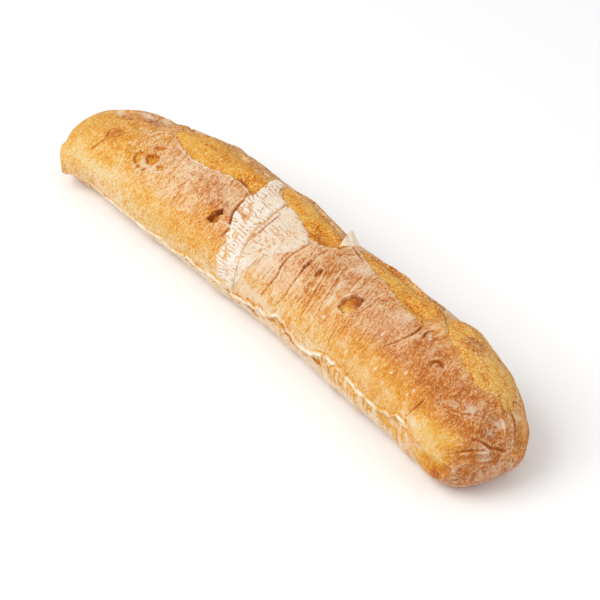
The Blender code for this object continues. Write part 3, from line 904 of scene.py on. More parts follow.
# Three strips round the loaf, each a list of bands: first angle, last angle and steps. The
# base meets the floor at 147.1 degrees on each side
BASE_EDGE = 147.1
STRIPS = {
    "crust_front": ((-112.0, -22.0, 112),),
    "crust_crown": ((-22.0, 68.0, 112),),
    "crust_back": ((68.0, BASE_EDGE, 60), (BASE_EDGE, 360.0 - BASE_EDGE, 16),
                   (360.0 - BASE_EDGE, 248.0, 28)),
}
RINGS = 850


def strip_angles(bands):
    """Angles of the columns of vertices of one strip, both edges included."""
    steps = [np.linspace(first, last, count, endpoint=False) for first, last, count in bands]
    return np.concatenate(steps + [[bands[-1][1]]])


def grid_normals(points, closed):
    """Unit normals of a grid of points (rings, columns, 3), which may close round the loaf."""
    tiny = 1e-9
    along = np.gradient(points, axis=0)
    if closed:
        wide = np.concatenate((points[:, -1:], points, points[:, :1]), axis=1)
        across = (wide[:, 2:] - wide[:, :-2]) / 2
    else:
        across = np.gradient(points, axis=1)
    normal = np.cross(along, across)
    length = np.linalg.norm(normal, axis=-1, keepdims=True)
    return normal / np.maximum(length, tiny)


def grid_piece(name, points, masks, normals=None, tips=None, kept=None):
    """A mesh over a grid of points in millimetres, closed at its tips where they are given, and
    with the cells whose first corner isn't kept left out."""
    rings, columns = points.shape[:2]
    vertices = points.reshape(-1, 3)
    corner = np.arange(rings * columns).reshape(rings, columns)
    quads = np.stack((corner[:-1, :-1], corner[1:, :-1], corner[1:, 1:], corner[:-1, 1:]), axis=-1)
    if kept is not None:
        quads = quads[kept[:-1, :-1]]
    faces = quads.reshape(-1, 4).tolist()
    values = {key: mask.reshape(-1) for key, mask in masks.items()}
    if tips is not None:
        first_tip = len(vertices)
        vertices = np.concatenate((vertices, tips))
        faces += [[first_tip, corner[0, i], corner[0, i + 1]] for i in range(columns - 1)]
        faces += [[first_tip + 1, corner[-1, i + 1], corner[-1, i]] for i in range(columns - 1)]
        values = {key: np.concatenate((mask, [mask[0], mask[-1]])) for key, mask in values.items()}
    mesh = bpy.data.meshes.new(name)
    mesh.from_pydata((vertices * MM).tolist(), [], faces)
    for key, mask in values.items():
        mesh.attributes.new(key, "FLOAT", "POINT").data.foreach_set("value", mask.astype(np.float32))
    mesh.shade_smooth()
    if normals is not None:
        directions = normals.reshape(-1, 3)
        if tips is not None:
            directions = np.concatenate((directions, [(-1.0, 0.0, 0.0), (1.0, 0.0, 0.0)]))
        mesh.normals_split_custom_set_from_vertices(directions.tolist())
    piece = bpy.data.objects.new(name, mesh)
    bpy.context.scene.collection.objects.link(piece)
    return piece


def new_group(name, inputs, outputs):
    """An empty shader node group with float or colour sockets."""
    group = bpy.data.node_groups.new(name, "ShaderNodeTree")
    for socket, kind in inputs:
        group.interface.new_socket(socket, in_out="INPUT", socket_type=kind)
    for socket, kind in outputs:
        group.interface.new_socket(socket, in_out="OUTPUT", socket_type=kind)
    group.nodes.new("NodeGroupInput").name = "in"
    group.nodes.new("NodeGroupOutput").name = "out"
    return group


def srgb(red, green, blue):
    """A linear colour from the usual 0 to 255 numbers."""
    parts = np.array((red, green, blue)) / 255.0
    linear = np.where(parts <= 0.04045, parts / 12.92, ((parts + 0.055) / 1.055) ** 2.4)
    return (*linear.tolist(), 1.0)


def node(tree, kind, **settings):
    """A new node with its settings."""
    made = tree.nodes.new(kind)
    for key, value in settings.items():
        setattr(made, key, value)
    return made


def math_node(tree, operation, *values, clamp=False):
    """A math node on values, each a socket or a number; returns its output."""
    made = node(tree, "ShaderNodeMath", operation=operation, use_clamp=clamp)
    for socket, value in zip(made.inputs, values):
        if isinstance(value, (int, float)):
            socket.default_value = value
        else:
            tree.links.new(value, socket)
    return made.outputs[0]


def blend_colours(tree, share, first, second, mode="MIX"):
    """A colour mix; share is a socket or number, and the colours are sockets or colours."""
    made = node(tree, "ShaderNodeMix", data_type="RGBA", blend_type=mode)
    for index, value in ((0, share), (6, first), (7, second)):
        if isinstance(value, (int, float, tuple)):
            made.inputs[index].default_value = value
        else:
            tree.links.new(value, made.inputs[index])
    return made.outputs[2]


def mask_value(tree, name):
    """A mask that the mesh carries."""
    made = node(tree, "ShaderNodeAttribute", attribute_name=name)
    return made.outputs["Fac"]


def texture_noise(tree, vector, scale, detail, rough):
    """A noise texture over a vector; returns its value."""
    made = node(tree, "ShaderNodeTexNoise")
    made.inputs["Scale"].default_value = scale
    made.inputs["Detail"].default_value = detail
    made.inputs["Roughness"].default_value = rough
    tree.links.new(vector, made.inputs["Vector"])
    return made.outputs["Fac"]


def remap(tree, value, low, high):
    """A value spread smoothly over 0 to 1 between a low and a high one, numbers or sockets."""
    made = node(tree, "ShaderNodeMapRange", interpolation_type="SMOOTHSTEP")
    for index, number in ((1, low), (2, high)):
        if isinstance(number, (int, float)):
            made.inputs[index].default_value = number
        else:
            tree.links.new(number, made.inputs[index])
    tree.links.new(value, made.inputs[0])
    return made.outputs[0]


def swing(tree, value, amount, level=0.0):
    """How far a value lies from its middle, 0.5, times an amount, added to a level."""
    return math_node(tree, "MULTIPLY_ADD", value, amount, level - amount / 2)


def weighed(tree, value, weights):
    """A value with each of several masks added by its weight."""
    for mask, weight in weights:
        value = math_node(tree, "MULTIPLY_ADD", mask_value(tree, mask), weight, value)
    return value


# Grain of the baked crust: fine specks, short strokes that run across the loaf, pale dots
# where flour or a thin bubble catches the light, and slow clouds of browning. Scale, detail and
# roughness of each, how strokes are stretched, and where a dot starts and is full
SPECKS = (950.0, 3.0, 0.85)
STROKES = (900.0, 3.0, 0.8)
DOTS = (1300.0, 1.0, 0.6)
CLOUDS = (110.0, 3.0, 0.6)
STROKE_STRETCH = (1.0, 0.4, 0.4)
DOT_LEVELS = (0.60, 0.68)
grain_group = new_group("crust_grain", [("Lean", "NodeSocketFloat")], [
    ("Speck", "NodeSocketFloat"), ("Streak", "NodeSocketFloat"), ("Dots", "NodeSocketFloat"),
    ("Cloud", "NodeSocketFloat")])
place = node(grain_group, "ShaderNodeTexCoord").outputs["Object"]
shift = node(grain_group, "ShaderNodeCombineXYZ")
grain_group.links.new(grain_group.nodes["in"].outputs["Lean"], shift.inputs["X"])
leaned = node(grain_group, "ShaderNodeVectorMath", operation="SUBTRACT")
grain_group.links.new(place, leaned.inputs[0])
grain_group.links.new(shift.outputs["Vector"], leaned.inputs[1])
stretch = node(grain_group, "ShaderNodeMapping", vector_type="POINT")
stretch.inputs["Scale"].default_value = STROKE_STRETCH
grain_group.links.new(leaned.outputs["Vector"], stretch.inputs["Vector"])
speck = texture_noise(grain_group, place, *SPECKS)
streak = texture_noise(grain_group, stretch.outputs["Vector"], *STROKES)
dots = texture_noise(grain_group, stretch.outputs["Vector"], *DOTS)
cloud = texture_noise(grain_group, place, *CLOUDS)
dots = remap(grain_group, dots, *DOT_LEVELS)
for socket, value in (("Speck", speck), ("Streak", streak), ("Dots", dots), ("Cloud", cloud)):
    grain_group.links.new(value, grain_group.nodes["out"].inputs[socket])

# Colours of dough from pale to dark as it bakes
BAKE_COLOURS = (
    (0.00, srgb(217, 192, 138)),
    (0.25, srgb(214, 167, 80)),
    (0.45, srgb(209, 144, 44)),
    (0.62, srgb(195, 121, 34)),
    (0.80, srgb(174, 95, 28)),
    (1.00, srgb(146, 74, 24)),
)
bake_group = new_group("bake_colour", [("Baked", "NodeSocketFloat")],
                       [("Colour", "NodeSocketColor")])
ramp = node(bake_group, "ShaderNodeValToRGB")
while len(ramp.color_ramp.elements) < len(BAKE_COLOURS):
    ramp.color_ramp.elements.new(0.5)
for element, (position, colour) in zip(ramp.color_ramp.elements, BAKE_COLOURS):
    element.position = position
    element.color = colour
bake_group.links.new(bake_group.nodes["in"].outputs["Baked"], ramp.inputs["Fac"])
bake_group.links.new(ramp.outputs["Color"], bake_group.nodes["out"].inputs["Colour"])

# Flour over a colour: it clings to the grain's high places first, and veils what lies between.
# How high the grain must be and how strongly it then clings, each without flour and what full
# flour adds; over how much of the grain that fades in; the strongest veil; and its colour
CLINGS_ABOVE = (0.56, -0.40)
CLING_STRENGTH = (0.36, 0.24)
CLING_OVER = 0.22
VEIL_STRENGTH = 0.26
FLOUR_COLOUR = srgb(222, 205, 182)
flour_group = new_group(
    "flour_veil",
    [("Colour", "NodeSocketColor"), ("Amount", "NodeSocketFloat"), ("Grain", "NodeSocketFloat")],
    [("Colour", "NodeSocketColor")])
amount = flour_group.nodes["in"].outputs["Amount"]
least, added = CLINGS_ABOVE
threshold = math_node(flour_group, "MULTIPLY_ADD", amount, added, least)
above = math_node(flour_group, "ADD", threshold, CLING_OVER)
clinging = remap(flour_group, flour_group.nodes["in"].outputs["Grain"], threshold, above)
least, added = CLING_STRENGTH
strength = math_node(flour_group, "MULTIPLY_ADD", amount, added, least)
clinging = math_node(flour_group, "MULTIPLY", clinging, strength)
veil = math_node(flour_group, "MULTIPLY", amount, VEIL_STRENGTH)
veil = math_node(flour_group, "MULTIPLY", amount, veil)
share = math_node(flour_group, "ADD", clinging, veil, clamp=True)
floured = blend_colours(flour_group, share, flour_group.nodes["in"].outputs["Colour"],
                        FLOUR_COLOUR)
flour_group.links.new(floured, flour_group.nodes["out"].inputs["Colour"])


def place_group(tree, group):
    """A node that uses a shared group."""
    made = tree.nodes.new("ShaderNodeGroup")
    made.node_tree = group
    return made


def blend_values(tree, share, first, second):
    """A mix of two values."""
    made = node(tree, "ShaderNodeMix", data_type="FLOAT")
    made.inputs[0].default_value = share
    tree.links.new(first, made.inputs[2])
    tree.links.new(second, made.inputs[3])
    return made.outputs[0]


def grain_of(tree, speck_share):
    """The shared grain in a material, and its mix of specks and streaks."""
    grain = place_group(tree, grain_group)
    tree.links.new(mask_value(tree, "lean"), grain.inputs["Lean"])
    mixed = blend_values(tree, speck_share, grain.outputs["Streak"], grain.outputs["Speck"])
    return grain, mixed


def add_bump(tree, shader, height, strength, distance):
    """Fine relief on a shader."""
    bump = node(tree, "ShaderNodeBump")
    bump.inputs["Strength"].default_value = strength
    bump.inputs["Distance"].default_value = distance
    tree.links.new(height, bump.inputs["Height"])
    tree.links.new(bump.outputs["Normal"], shader.inputs["Normal"])


def new_material(name, roughness, specular=None):
    """A material with its roughness and, where it is given, its specular level: the material,
    its node tree and its shader."""
    material = bpy.data.materials.new(name)
    material.use_nodes = True
    shader = material.node_tree.nodes["Principled BSDF"]
    shader.inputs["Roughness"].default_value = roughness
    if specular is not None:
        shader.inputs["Specular IOR Level"].default_value = specular
    return material, material.node_tree, shader


def floured_bake(tree, baked, floured, grain):
    """The colour of crust or crumb from how far it is baked and floured, and from its grain."""
    colour = place_group(tree, bake_group)
    tree.links.new(baked, colour.inputs["Baked"])
    flour = place_group(tree, flour_group)
    tree.links.new(colour.outputs["Colour"], flour.inputs["Colour"])
    tree.links.new(floured, flour.inputs["Amount"])
    tree.links.new(grain, flour.inputs["Grain"])
    return flour.outputs["Colour"]


# Finish of the skin: the share of specks in its grain; how much further each mask, the grain
# and the clouds bake it; how much flour each mask and the clouds hold; the strength and colour
# of its dots and of its torn edges; and the strength and depth in metres of its finest relief
SKIN_SPECKS = 0.5
SKIN_BAKED_BY = (("wrinkle", -0.08), ("lump", -0.05), ("shoulder", -0.10), ("crack", 0.50),
                 ("vein", 0.14), ("hole", 0.50))
SKIN_BAKED_BY_GRAIN = -2.1
SKIN_BAKED_BY_CLOUD = -0.5
SKIN_FLOURED_BY = (("wrinkle", 0.13), ("shoulder", 0.38), ("stroke", 0.70))
SKIN_FLOURED_BY_CLOUD = 0.8
SKIN_FLOUR_LEVEL = -0.03
SKIN_DOTS = (0.35, srgb(226, 204, 168))
SKIN_EDGES = (0.92, srgb(239, 229, 210))
SKIN_BUMP = (0.4, 0.0006)


def skin_material():
    """Baked skin: golden to brown, pale on its torn edges, dark in its cracks, floured."""
    material, tree, shader = new_material("baked_skin", roughness=0.68, specular=0.2)
    grain, mixed = grain_of(tree, SKIN_SPECKS)
    rough = math_node(tree, "SUBTRACT", mixed, 0.5)
    rough = math_node(tree, "MULTIPLY", rough, mask_value(tree, "rough"))
    mixed = math_node(tree, "ADD", rough, 0.5)
    # Baked further in the valleys of the grain, and in cracks and holes; in some creases this
    # darkening is painted shade
    baked = weighed(tree, mask_value(tree, "baked"), SKIN_BAKED_BY)
    uneven = swing(tree, mixed, SKIN_BAKED_BY_GRAIN)
    cloudy = swing(tree, grain.outputs["Cloud"], SKIN_BAKED_BY_CLOUD)
    baked = math_node(tree, "ADD", baked, math_node(tree, "ADD", uneven, cloudy), clamp=True)
    # Flour stays out of cracks, veins and what has burst or torn open
    hidden = math_node(tree, "MAXIMUM", mask_value(tree, "crack"), mask_value(tree, "bare"))
    hidden = math_node(tree, "MAXIMUM", hidden, mask_value(tree, "vein"))
    # Shoulders take more flour and less baking: scuffed folds, and beside creases a painted highlight
    dust = weighed(tree, mask_value(tree, "floured"), SKIN_FLOURED_BY)
    clouded = swing(tree, grain.outputs["Cloud"], SKIN_FLOURED_BY_CLOUD, SKIN_FLOUR_LEVEL)
    dust = math_node(tree, "ADD", dust, clouded)
    dust = math_node(tree, "SUBTRACT", dust, hidden, clamp=True)
    colour = floured_bake(tree, baked, dust, mixed)
    bare = math_node(tree, "SUBTRACT", 1.0, hidden, clamp=True)
    strength, pale = SKIN_DOTS
    dotted = math_node(tree, "MULTIPLY", grain.outputs["Dots"], strength)
    colour = blend_colours(tree, math_node(tree, "MULTIPLY", dotted, bare), colour, pale)
    strength, pale = SKIN_EDGES
    edge = math_node(tree, "MAXIMUM", mask_value(tree, "rim"), mask_value(tree, "lip"))
    colour = blend_colours(tree, math_node(tree, "MULTIPLY", edge, strength), colour, pale)
    tree.links.new(colour, shader.inputs["Base Color"])
    add_bump(tree, shader, mixed, *SKIN_BUMP)
    return material


def fit_to_solid(points):
    """Moves and stretches points from the skin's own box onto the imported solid's box."""
    low, high = np.array(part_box("loaf")) / MM
    return (points - skin_low) * (high - low) / (skin_high - skin_low) + low


ring_x = ring_places(RINGS)[1:-1]
all_angles = {name: strip_angles(bands) for name, bands in STRIPS.items()}
columns = np.concatenate([angles[:-1] for angles in all_angles.values()])
grid_x, grid_turn = np.meshgrid(ring_x, columns, indexing="ij")
wrapped = (grid_turn + 180.0) % 360.0 - 180.0
flat_x, flat_degrees = grid_x.ravel(), wrapped.ravel()
skin_points, skin_masks = skin(flat_x, flat_degrees)
plain_points = body(flat_x, flat_degrees)
skin_masks["baked"] = with_spots(across_bands(flat_x, flat_degrees, BAKED), plain_points,
                                 BAKED_SPOTS)
skin_masks["rough"] = with_spots(curve((flat_x + HALF) / LENGTH, ROUGH), plain_points,
                                 SMOOTH_SPOTS, most=2.0)
skin_masks["floured"] = with_spots(across_bands(flat_x, flat_degrees, FLOURED), plain_points,
                                   FLOURED_SPOTS)
skin_points[:, 2] = np.maximum(skin_points[:, 2], 0.0)
on_base = plain_points[:, 2] <= 0.0
skin_points[on_base] = plain_points[on_base]
tips = body(np.array([-HALF, HALF]), np.zeros(2))
caked = ease(outline_distance(flat_x, flat_degrees, FLOUR_OUTLINE) + 0.5)
outermost = skin_points + np.array((0.0, 0.0, FLOUR_TOP)) * caked[:, None]
skin_low = np.minimum(skin_points.min(axis=0), tips.min(axis=0))
skin_high = np.maximum(outermost.max(axis=0), tips.max(axis=0))
skin_points = fit_to_solid(skin_points)
tips = fit_to_solid(tips)
shape = grid_x.shape
skin_grid = skin_points.reshape(*shape, 3)
skin_normals = grid_normals(skin_grid, closed=True)
baked_skin = skin_material()
first = 0
for name, angles in all_angles.items():
    wanted = np.arange(first, first + len(angles)) % shape[1]
    first += len(angles) - 1
    masks = {key: mask.reshape(shape)[:, wanted] for key, mask in skin_masks.items()}
    strip = grid_piece(name, skin_grid[:, wanted], masks, skin_normals[:, wanted], tips)
    strip.data.materials.append(baked_skin)
    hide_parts("loaf")
    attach(strip, "root")

# ---- Crumb in the slashes ---------------------------------------------------------------
# The soft dough that swelled up through each slash as the loaf baked: smoother and more
# golden than the skin, brown along its crest, and tucked under the torn skin at its edges.

CRUMB_STEP = 0.5
CRUMB_MARGIN = 4.0
CRUMB_TUCK = 2.2
CRUMB_TUCK_OVER = 3.0

# Lumps, fine lumps and strands along the loaf: height, size and first seed of each; how far
# lumps bend the strands, in millimetres, and by how much lumps and strands leave it less baked
CRUMB_LUMPS = (0.5, (5.0, 3.4, 3.4), 91)
CRUMB_FINE = (0.18, (1.8, 1.4, 1.4), 101)
CRUMB_STRANDS = (0.25, (9.0, 2.2, 1.0), 111)
STRAND_BEND = 1.2
CRUMB_UNEVEN = (0.14, 0.20)

# How far the crumb is baked and floured at five even steps of each slash, along its front
# lip, its middle and its back lip
CRUMB_BAKED = (
    ((0.42, 0.42, 0.46, 0.46, 0.46), (0.46, 0.50, 0.50, 0.50, 0.56), (0.56, 0.56, 0.56, 0.56, 0.6)),
    ((0.20, 0.20, 0.26, 0.32, 0.64), (0.22, 0.24, 0.30, 0.32, 0.46), (0.36, 0.44, 0.50, 0.44, 0.5)),
    ((0.22, 0.20, 0.28, 0.56, 0.80), (0.24, 0.18, 0.18, 0.40, 0.60), (0.46, 0.44, 0.42, 0.42, 0.5)),
    ((0.32, 0.30, 0.28, 0.32, 0.52), (0.36, 0.32, 0.30, 0.34, 0.46), (0.58, 0.58, 0.54, 0.56, 0.6)),
    ((0.30, 0.30, 0.34, 0.30, 0.44), (0.30, 0.36, 0.42, 0.28, 0.32), (0.42, 0.46, 0.48, 0.36, 0.5)),
)
CRUMB_FLOURED = (
    ((0.10, 0.10, 0.10, 0.10, 0.10), (0.20, 0.25, 0.25, 0.25, 0.20), (0.30, 0.35, 0.35, 0.35, 0.3)),
    ((0.06, 0.00, 0.00, 0.05, 0.05), (0.02, 0.00, 0.04, 0.16, 0.10), (0.30, 0.45, 0.45, 0.45, 0.3)),
    ((0.30, 0.28, 0.16, 0.08, 0.05), (0.26, 0.26, 0.18, 0.16, 0.12), (0.30, 0.42, 0.55, 0.70, 0.5)),
    ((0.22, 0.32, 0.24, 0.16, 0.16), (0.22, 0.34, 0.22, 0.20, 0.26), (0.34, 0.34, 0.40, 0.50, 0.5)),
    ((0.34, 0.40, 0.42, 0.48, 0.50), (0.44, 0.42, 0.42, 0.50, 0.52), (0.44, 0.42, 0.42, 0.38, 0.3)),
)

# Where the crumb turns to floured brown crust behind, as angles at five even steps of each
# slash, how far that crust is baked and floured, and over how many millimetres it fades in and
# its edge bends
CRUMB_ENDS = (
    (42, 70, 76, 66, 28), (24, 28, 27, 20, 20), (34, 30, 29, 25, 24), (31, 30, 29, 28, 24),
    (34, 48, 52, 54, 46),
)
BEHIND = ((0.62, 0.35), (0.60, 0.40), (0.60, 0.40), (0.64, 0.25), (0.56, 0.45))
BEHIND_FADE = 3.5
BEHIND_BEND = 2.0

# Places where the crumb is browner: how much, reach along and round, and place
CRUMB_BROWNED = (
    (1.00, 12.0, 8.0, 148, 25),
    (0.32, 9.0, 3.5, -97, 12),
    (0.14, 8.0, 4.0, 4, 24),
    (0.85, 7.0, 4.0, -54, 1),
)

# Finish of the crumb, as for the skin. It is yellower than skin: a little less blue, though not
# where it is crust behind
CRUMB_SPECKS = 0.7
CRUMB_BAKED_BY_GRAIN = -4.6
CRUMB_BAKED_BY_CLOUD = -1.0
CRUMB_TINT = srgb(255, 231, 160)
LESS_TINT_BEHIND = -0.6
CRUMB_DOTS = (0.75, srgb(236, 205, 150))
CRUMB_BUMP = (0.6, 0.0008)


def crumb_material():
    """Baked crumb: golden yellow to brown, with fine bubbles, and floured crust behind."""
    material, tree, shader = new_material("baked_crumb", roughness=0.55, specular=0.12)
    grain, mixed = grain_of(tree, CRUMB_SPECKS)
    uneven = swing(tree, mixed, CRUMB_BAKED_BY_GRAIN)
    cloudy = swing(tree, grain.outputs["Cloud"], CRUMB_BAKED_BY_CLOUD)
    uneven = math_node(tree, "ADD", uneven, cloudy)
    baked = math_node(tree, "ADD", mask_value(tree, "baked"), uneven, clamp=True)
    colour = floured_bake(tree, baked, mask_value(tree, "floured"), mixed)
    golden = math_node(tree, "MULTIPLY_ADD", mask_value(tree, "behind"), LESS_TINT_BEHIND, 1.0)
    colour = blend_colours(tree, golden, colour, CRUMB_TINT, "MULTIPLY")
    strength, pale = CRUMB_DOTS
    dotted = math_node(tree, "MULTIPLY", grain.outputs["Dots"], strength)
    colour = blend_colours(tree, dotted, colour, pale)
    tree.links.new(colour, shader.inputs["Base Color"])
    add_bump(tree, shader, mixed, *CRUMB_BUMP)
    return material


baked_crumb = crumb_material()
for number, slash in enumerate(SLASHES):
    start, stop = slash["span"]
    widest = max(b - f for f, b in zip(slash["front"], slash["bare"])) * ARC
    along = np.linspace(start - CRUMB_MARGIN, stop + CRUMB_MARGIN,
                        int((stop - start + 2 * CRUMB_MARGIN) / CRUMB_STEP))
    across = np.linspace(0.0, 1.0, int((widest + 2 * CRUMB_MARGIN) / CRUMB_STEP))
    patch_x, share = np.meshgrid(along, across, indexing="ij")
    u = (patch_x - start) / (stop - start)
    front_edge = curve(u, slash["front"]) - CRUMB_MARGIN / ARC
    back_edge = curve(u, slash["bare"]) + CRUMB_MARGIN / ARC
    patch_degrees = front_edge + (back_edge - front_edge) * share
    x, degrees = patch_x.ravel(), patch_degrees.ravel()
    plain = body(x, degrees)
    inside = slash_shape(x, degrees, slash)[0]
    height = crumb_height(x, degrees, plain, slash) + swell_height(x, degrees)
    height = height * wholeness(x, degrees) - CRUMB_TUCK * ease(-inside / CRUMB_TUCK_OVER)
    amount, size, seed = CRUMB_LUMPS
    lumps = layered_noise(plain, size, seed + number)
    height += amount * lumps
    amount, size, seed = CRUMB_FINE
    height += amount * layered_noise(plain, size, seed + number, 2)
    amount, size, seed = CRUMB_STRANDS
    unrolled = np.stack((x, degrees * ARC + STRAND_BEND * lumps, np.zeros_like(x)), axis=1)
    strands = layered_noise(unrolled, size, seed + number, 2)
    height += amount * strands
    points = fit_to_solid(plain + outward(x, degrees) * height[:, None])
    grid = points.reshape(*patch_x.shape, 3)
    past = (degrees - curve(u.ravel(), CRUMB_ENDS[number])) * ARC + BEHIND_BEND * lumps
    behind = ease(past / BEHIND_FADE + 0.5).reshape(patch_x.shape)
    bands = []
    for tables, crusted in zip((CRUMB_BAKED, CRUMB_FLOURED), BEHIND[number]):
        front, middle, back = (curve(u, row) for row in tables[number])
        level = share * 2
        value = np.where(level < 1, front + (middle - front) * level,
                         middle + (back - middle) * (level - 1))
        bands.append(np.clip(value + (crusted - value) * behind, 0.0, 1.0))
    uneven = CRUMB_UNEVEN[0] * lumps + CRUMB_UNEVEN[1] * strands
    uneven = uneven.reshape(patch_x.shape)
    browned = with_spots(bands[0].ravel(), plain, CRUMB_BROWNED).reshape(patch_x.shape)
    masks = {"baked": browned - uneven, "floured": bands[1] + uneven, "behind": behind}
    piece = grid_piece("crumb_" + str(number + 1), grid, masks)
    piece.data.materials.append(baked_crumb)
    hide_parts("loaf")
    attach(piece, "root")

# ---- Flour crust -----------------------------------------------------------------------
# A thin cake of flour and dried dough that lies over the skin in the middle of the loaf. It
# cracked into plates as the dough under it swelled, and golden skin shows in the cracks.

FLOUR_STEP = 0.3
FLOUR_SPAN = (-52.0, 32.0)
FLOUR_TURN = (-99.0, 42.0)
FLOUR_HEIGHT = 0.55
FLOUR_BURIED = 0.7
FLOUR_LUMPS = (0.15, 3.0, 138)
FLOUR_CRACK_DEPTH = 0.95

# The cake's edge: amounts, sizes and seeds that fray it, how far wrinkles draw it out and the
# height of the wrinkle that lies on it, and over how many millimetres it thins out
FLOUR_FRAYED = ((1.2, 3.0, 131), (0.7, 1.3, 132))
DRAWN_OUT = 3.2
DRAWN_LEVEL = 0.7
EDGE_OVER = 1.4

# Its plates and what bends them: size and seed, then amount, size and seeds. A crack between
# them is full this far from its middle, and gone over that much more. It is open where the cake
# has parted, and here and there elsewhere
PLATE_SIZE = (8.0, 7.0)
PLATE_SEED = 135
PLATE_WARP = (2.2, 4.0, (133, 143))
PLATE_CRACK = {"from": 0.05, "over": 0.40, "depth": 0.7}
PLATE_OPEN = {"parted": 0.9, "elsewhere": ((1.2, 2.6, 136),)}

# Short cracks run along the loaf, in rows this many millimetres apart, which wave: amount, size
# and seed. They come and go: how many where the cake has parted, where it is pitted and
# elsewhere, and the amount, size and seed of what breaks them
ARC_EVERY = 2.5
ARC_WAVE = (2.2, 7.0, 148)
ARC_CRACK = {"from": 0.12, "over": 0.35}
ARC_SHARE = {"parted": 1.1, "pitted": 0.5, "elsewhere": -0.1, "broken": ((1.5, 3.4, 146),)}

# Pits: size and seed, where they start and over what, and how many where it has parted
PITS = {"size": (1.6, 1.2, 1.2), "seed": 137, "from": 0.36, "over": 0.25, "parted": 0.35}

# The longer creases of the cake: paths, half width and how dark
FLOUR_CREASES = (
    ((-18, 10), (-17, 3), (-16, -4), (-14, -16), (-14, -27), (-12, -42), (-10, -64), (-10, -86)),
    ((-13, -2), (-11.5, -14), (-11, -26), (-11.5, -38)),
)
FLOUR_CREASE_WIDTH = 0.9
FLOUR_CREASE_DARK = 0.85

# Where the plates have parted most, and where the cake is whole but pitted: reach and place
PARTED = ((30.0, 34.0, -32, -20), (20.0, 26.0, -20, -66), (16.0, 14.0, -40, 20))
PITTED = ((14.0, 12.0, 2, -14), (14.0, 12.0, -2, -34))

# Where it has worn off between plates: reach and place; how surely, and the amount, size and
# seed of what frays the worn places, their level, and how far from a crack they stop, over what
WORN = (
    (5.5, 5.0, -33, -21), (6.0, 6.0, -29, -13), (6.0, 7.0, -27, -24), (4.0, 5.0, -24, -44),
    (4.0, 4.0, -15.5, -20), (4.0, 6.5, -13, -35), (5.0, 6.0, -24, -64), (4.5, 4.0, -31, 3),
)
WORN_SURELY = 1.7
WORN_FRAYED = ((1.0, 2.4, 147),)
WORN_LEVEL = -0.5
WORN_STOPS = {"from": 1.0, "over": 0.6}

# Where its edge is drawn out along the wrinkles
FRINGED = ((26.0, 20.0, 8, -46), (18.0, 22.0, 0, -80))

# Finish of the cake, as for the skin: it is thinner, so browner, in the valleys of its grain and
# its clouds, where it has not parted and at its edge. Its own colour, thick and thin, and the
# golden skin in its cracks, with the crack mask at which that starts and is full
CAKE_SPECKS = 0.6
CAKE_THIN_BY_GRAIN = -3.0
CAKE_THIN_BY_CLOUD = -1.6
CAKE_THIN_LEVEL = 0.25
CAKE_THIN_WHOLE = 0.7
CAKE_THIN_EVERYWHERE = -0.35
CAKE_THIN_EDGE = 0.3
CAKE_COLOURS = (srgb(228, 217, 202), srgb(213, 184, 150))
CAKE_CRACK_COLOUR = srgb(206, 142, 62)
CAKE_CRACK_LEVELS = (0.25, 0.65)
CAKE_BUMP = (0.5, 0.0008)


def flour_material():
    """Dry flour and dough: cream, a little pink and brown where it is thin."""
    material, tree, shader = new_material("flour_crust", roughness=0.85, specular=0.2)
    grain, mixed = grain_of(tree, CAKE_SPECKS)
    thin = swing(tree, mixed, CAKE_THIN_BY_GRAIN, CAKE_THIN_LEVEL)
    thin = math_node(tree, "ADD", thin, swing(tree, grain.outputs["Cloud"], CAKE_THIN_BY_CLOUD))
    thin = math_node(tree, "ADD", thin, mask_value(tree, "thin"), clamp=True)
    cake = blend_colours(tree, thin, *CAKE_COLOURS)
    parted = remap(tree, mask_value(tree, "crack"), *CAKE_CRACK_LEVELS)
    final = blend_colours(tree, parted, cake, CAKE_CRACK_COLOUR)
    tree.links.new(final, shader.inputs["Base Color"])
    add_bump(tree, shader, mixed, *CAKE_BUMP)
    return material


def nearness(points, places):
    """1 at the given places, 0 beyond their reach."""
    return np.max([bell(np.minimum(spot_distance(points, *place), 1.0)) for place in places], axis=0)


def cake_cracks(x, degrees, plain, parted):
    """The cracks, pits, worn places and creases of the cake, as one mask."""
    amount, size, seeds = PLATE_WARP
    warp = [amount * layered_noise(plain, size, seed, 2) for seed in seeds]
    crazed = plates(x + warp[0], degrees * ARC + warp[1], PLATE_SIZE, PLATE_SEED)
    pitted = nearness(plain, PITTED)
    amount, size, seed = ARC_WAVE
    wave = amount * layered_noise(plain, size, seed, 2)
    arcs = ridges(np.sin(np.pi * (degrees * ARC + wave) / ARC_EVERY))
    fitful = ARC_SHARE["parted"] * parted + ARC_SHARE["pitted"] * pitted
    fitful += ARC_SHARE["elsewhere"] + ragged_by(plain, ARC_SHARE["broken"])
    crack = ease((arcs - ARC_CRACK["from"]) / ARC_CRACK["over"]) * ease(fitful)
    opened = ease(PLATE_OPEN["parted"] * parted + ragged_by(plain, PLATE_OPEN["elsewhere"]))
    between = 1.0 - ease((crazed - PLATE_CRACK["from"]) / PLATE_CRACK["over"])
    crack = np.maximum(crack, PLATE_CRACK["depth"] * opened * between)
    pits = ease((noise(plain, PITS["size"], PITS["seed"]) - PITS["from"]) / PITS["over"])
    crack = np.maximum(crack, pits * np.maximum(pitted, PITS["parted"] * parted))
    worn = WORN_SURELY * nearness(plain, WORN) + ragged_by(plain, WORN_FRAYED)
    worn = ease(worn + WORN_LEVEL)
    worn = worn * (1.0 - ease((crazed - WORN_STOPS["from"]) / WORN_STOPS["over"]))
    crack = np.maximum(crack, worn)
    for path in FLOUR_CREASES:
        groove = bell(path_distance(plain, path)[0] / FLOUR_CREASE_WIDTH)
        crack = np.maximum(crack, FLOUR_CREASE_DARK * groove)
    return crack


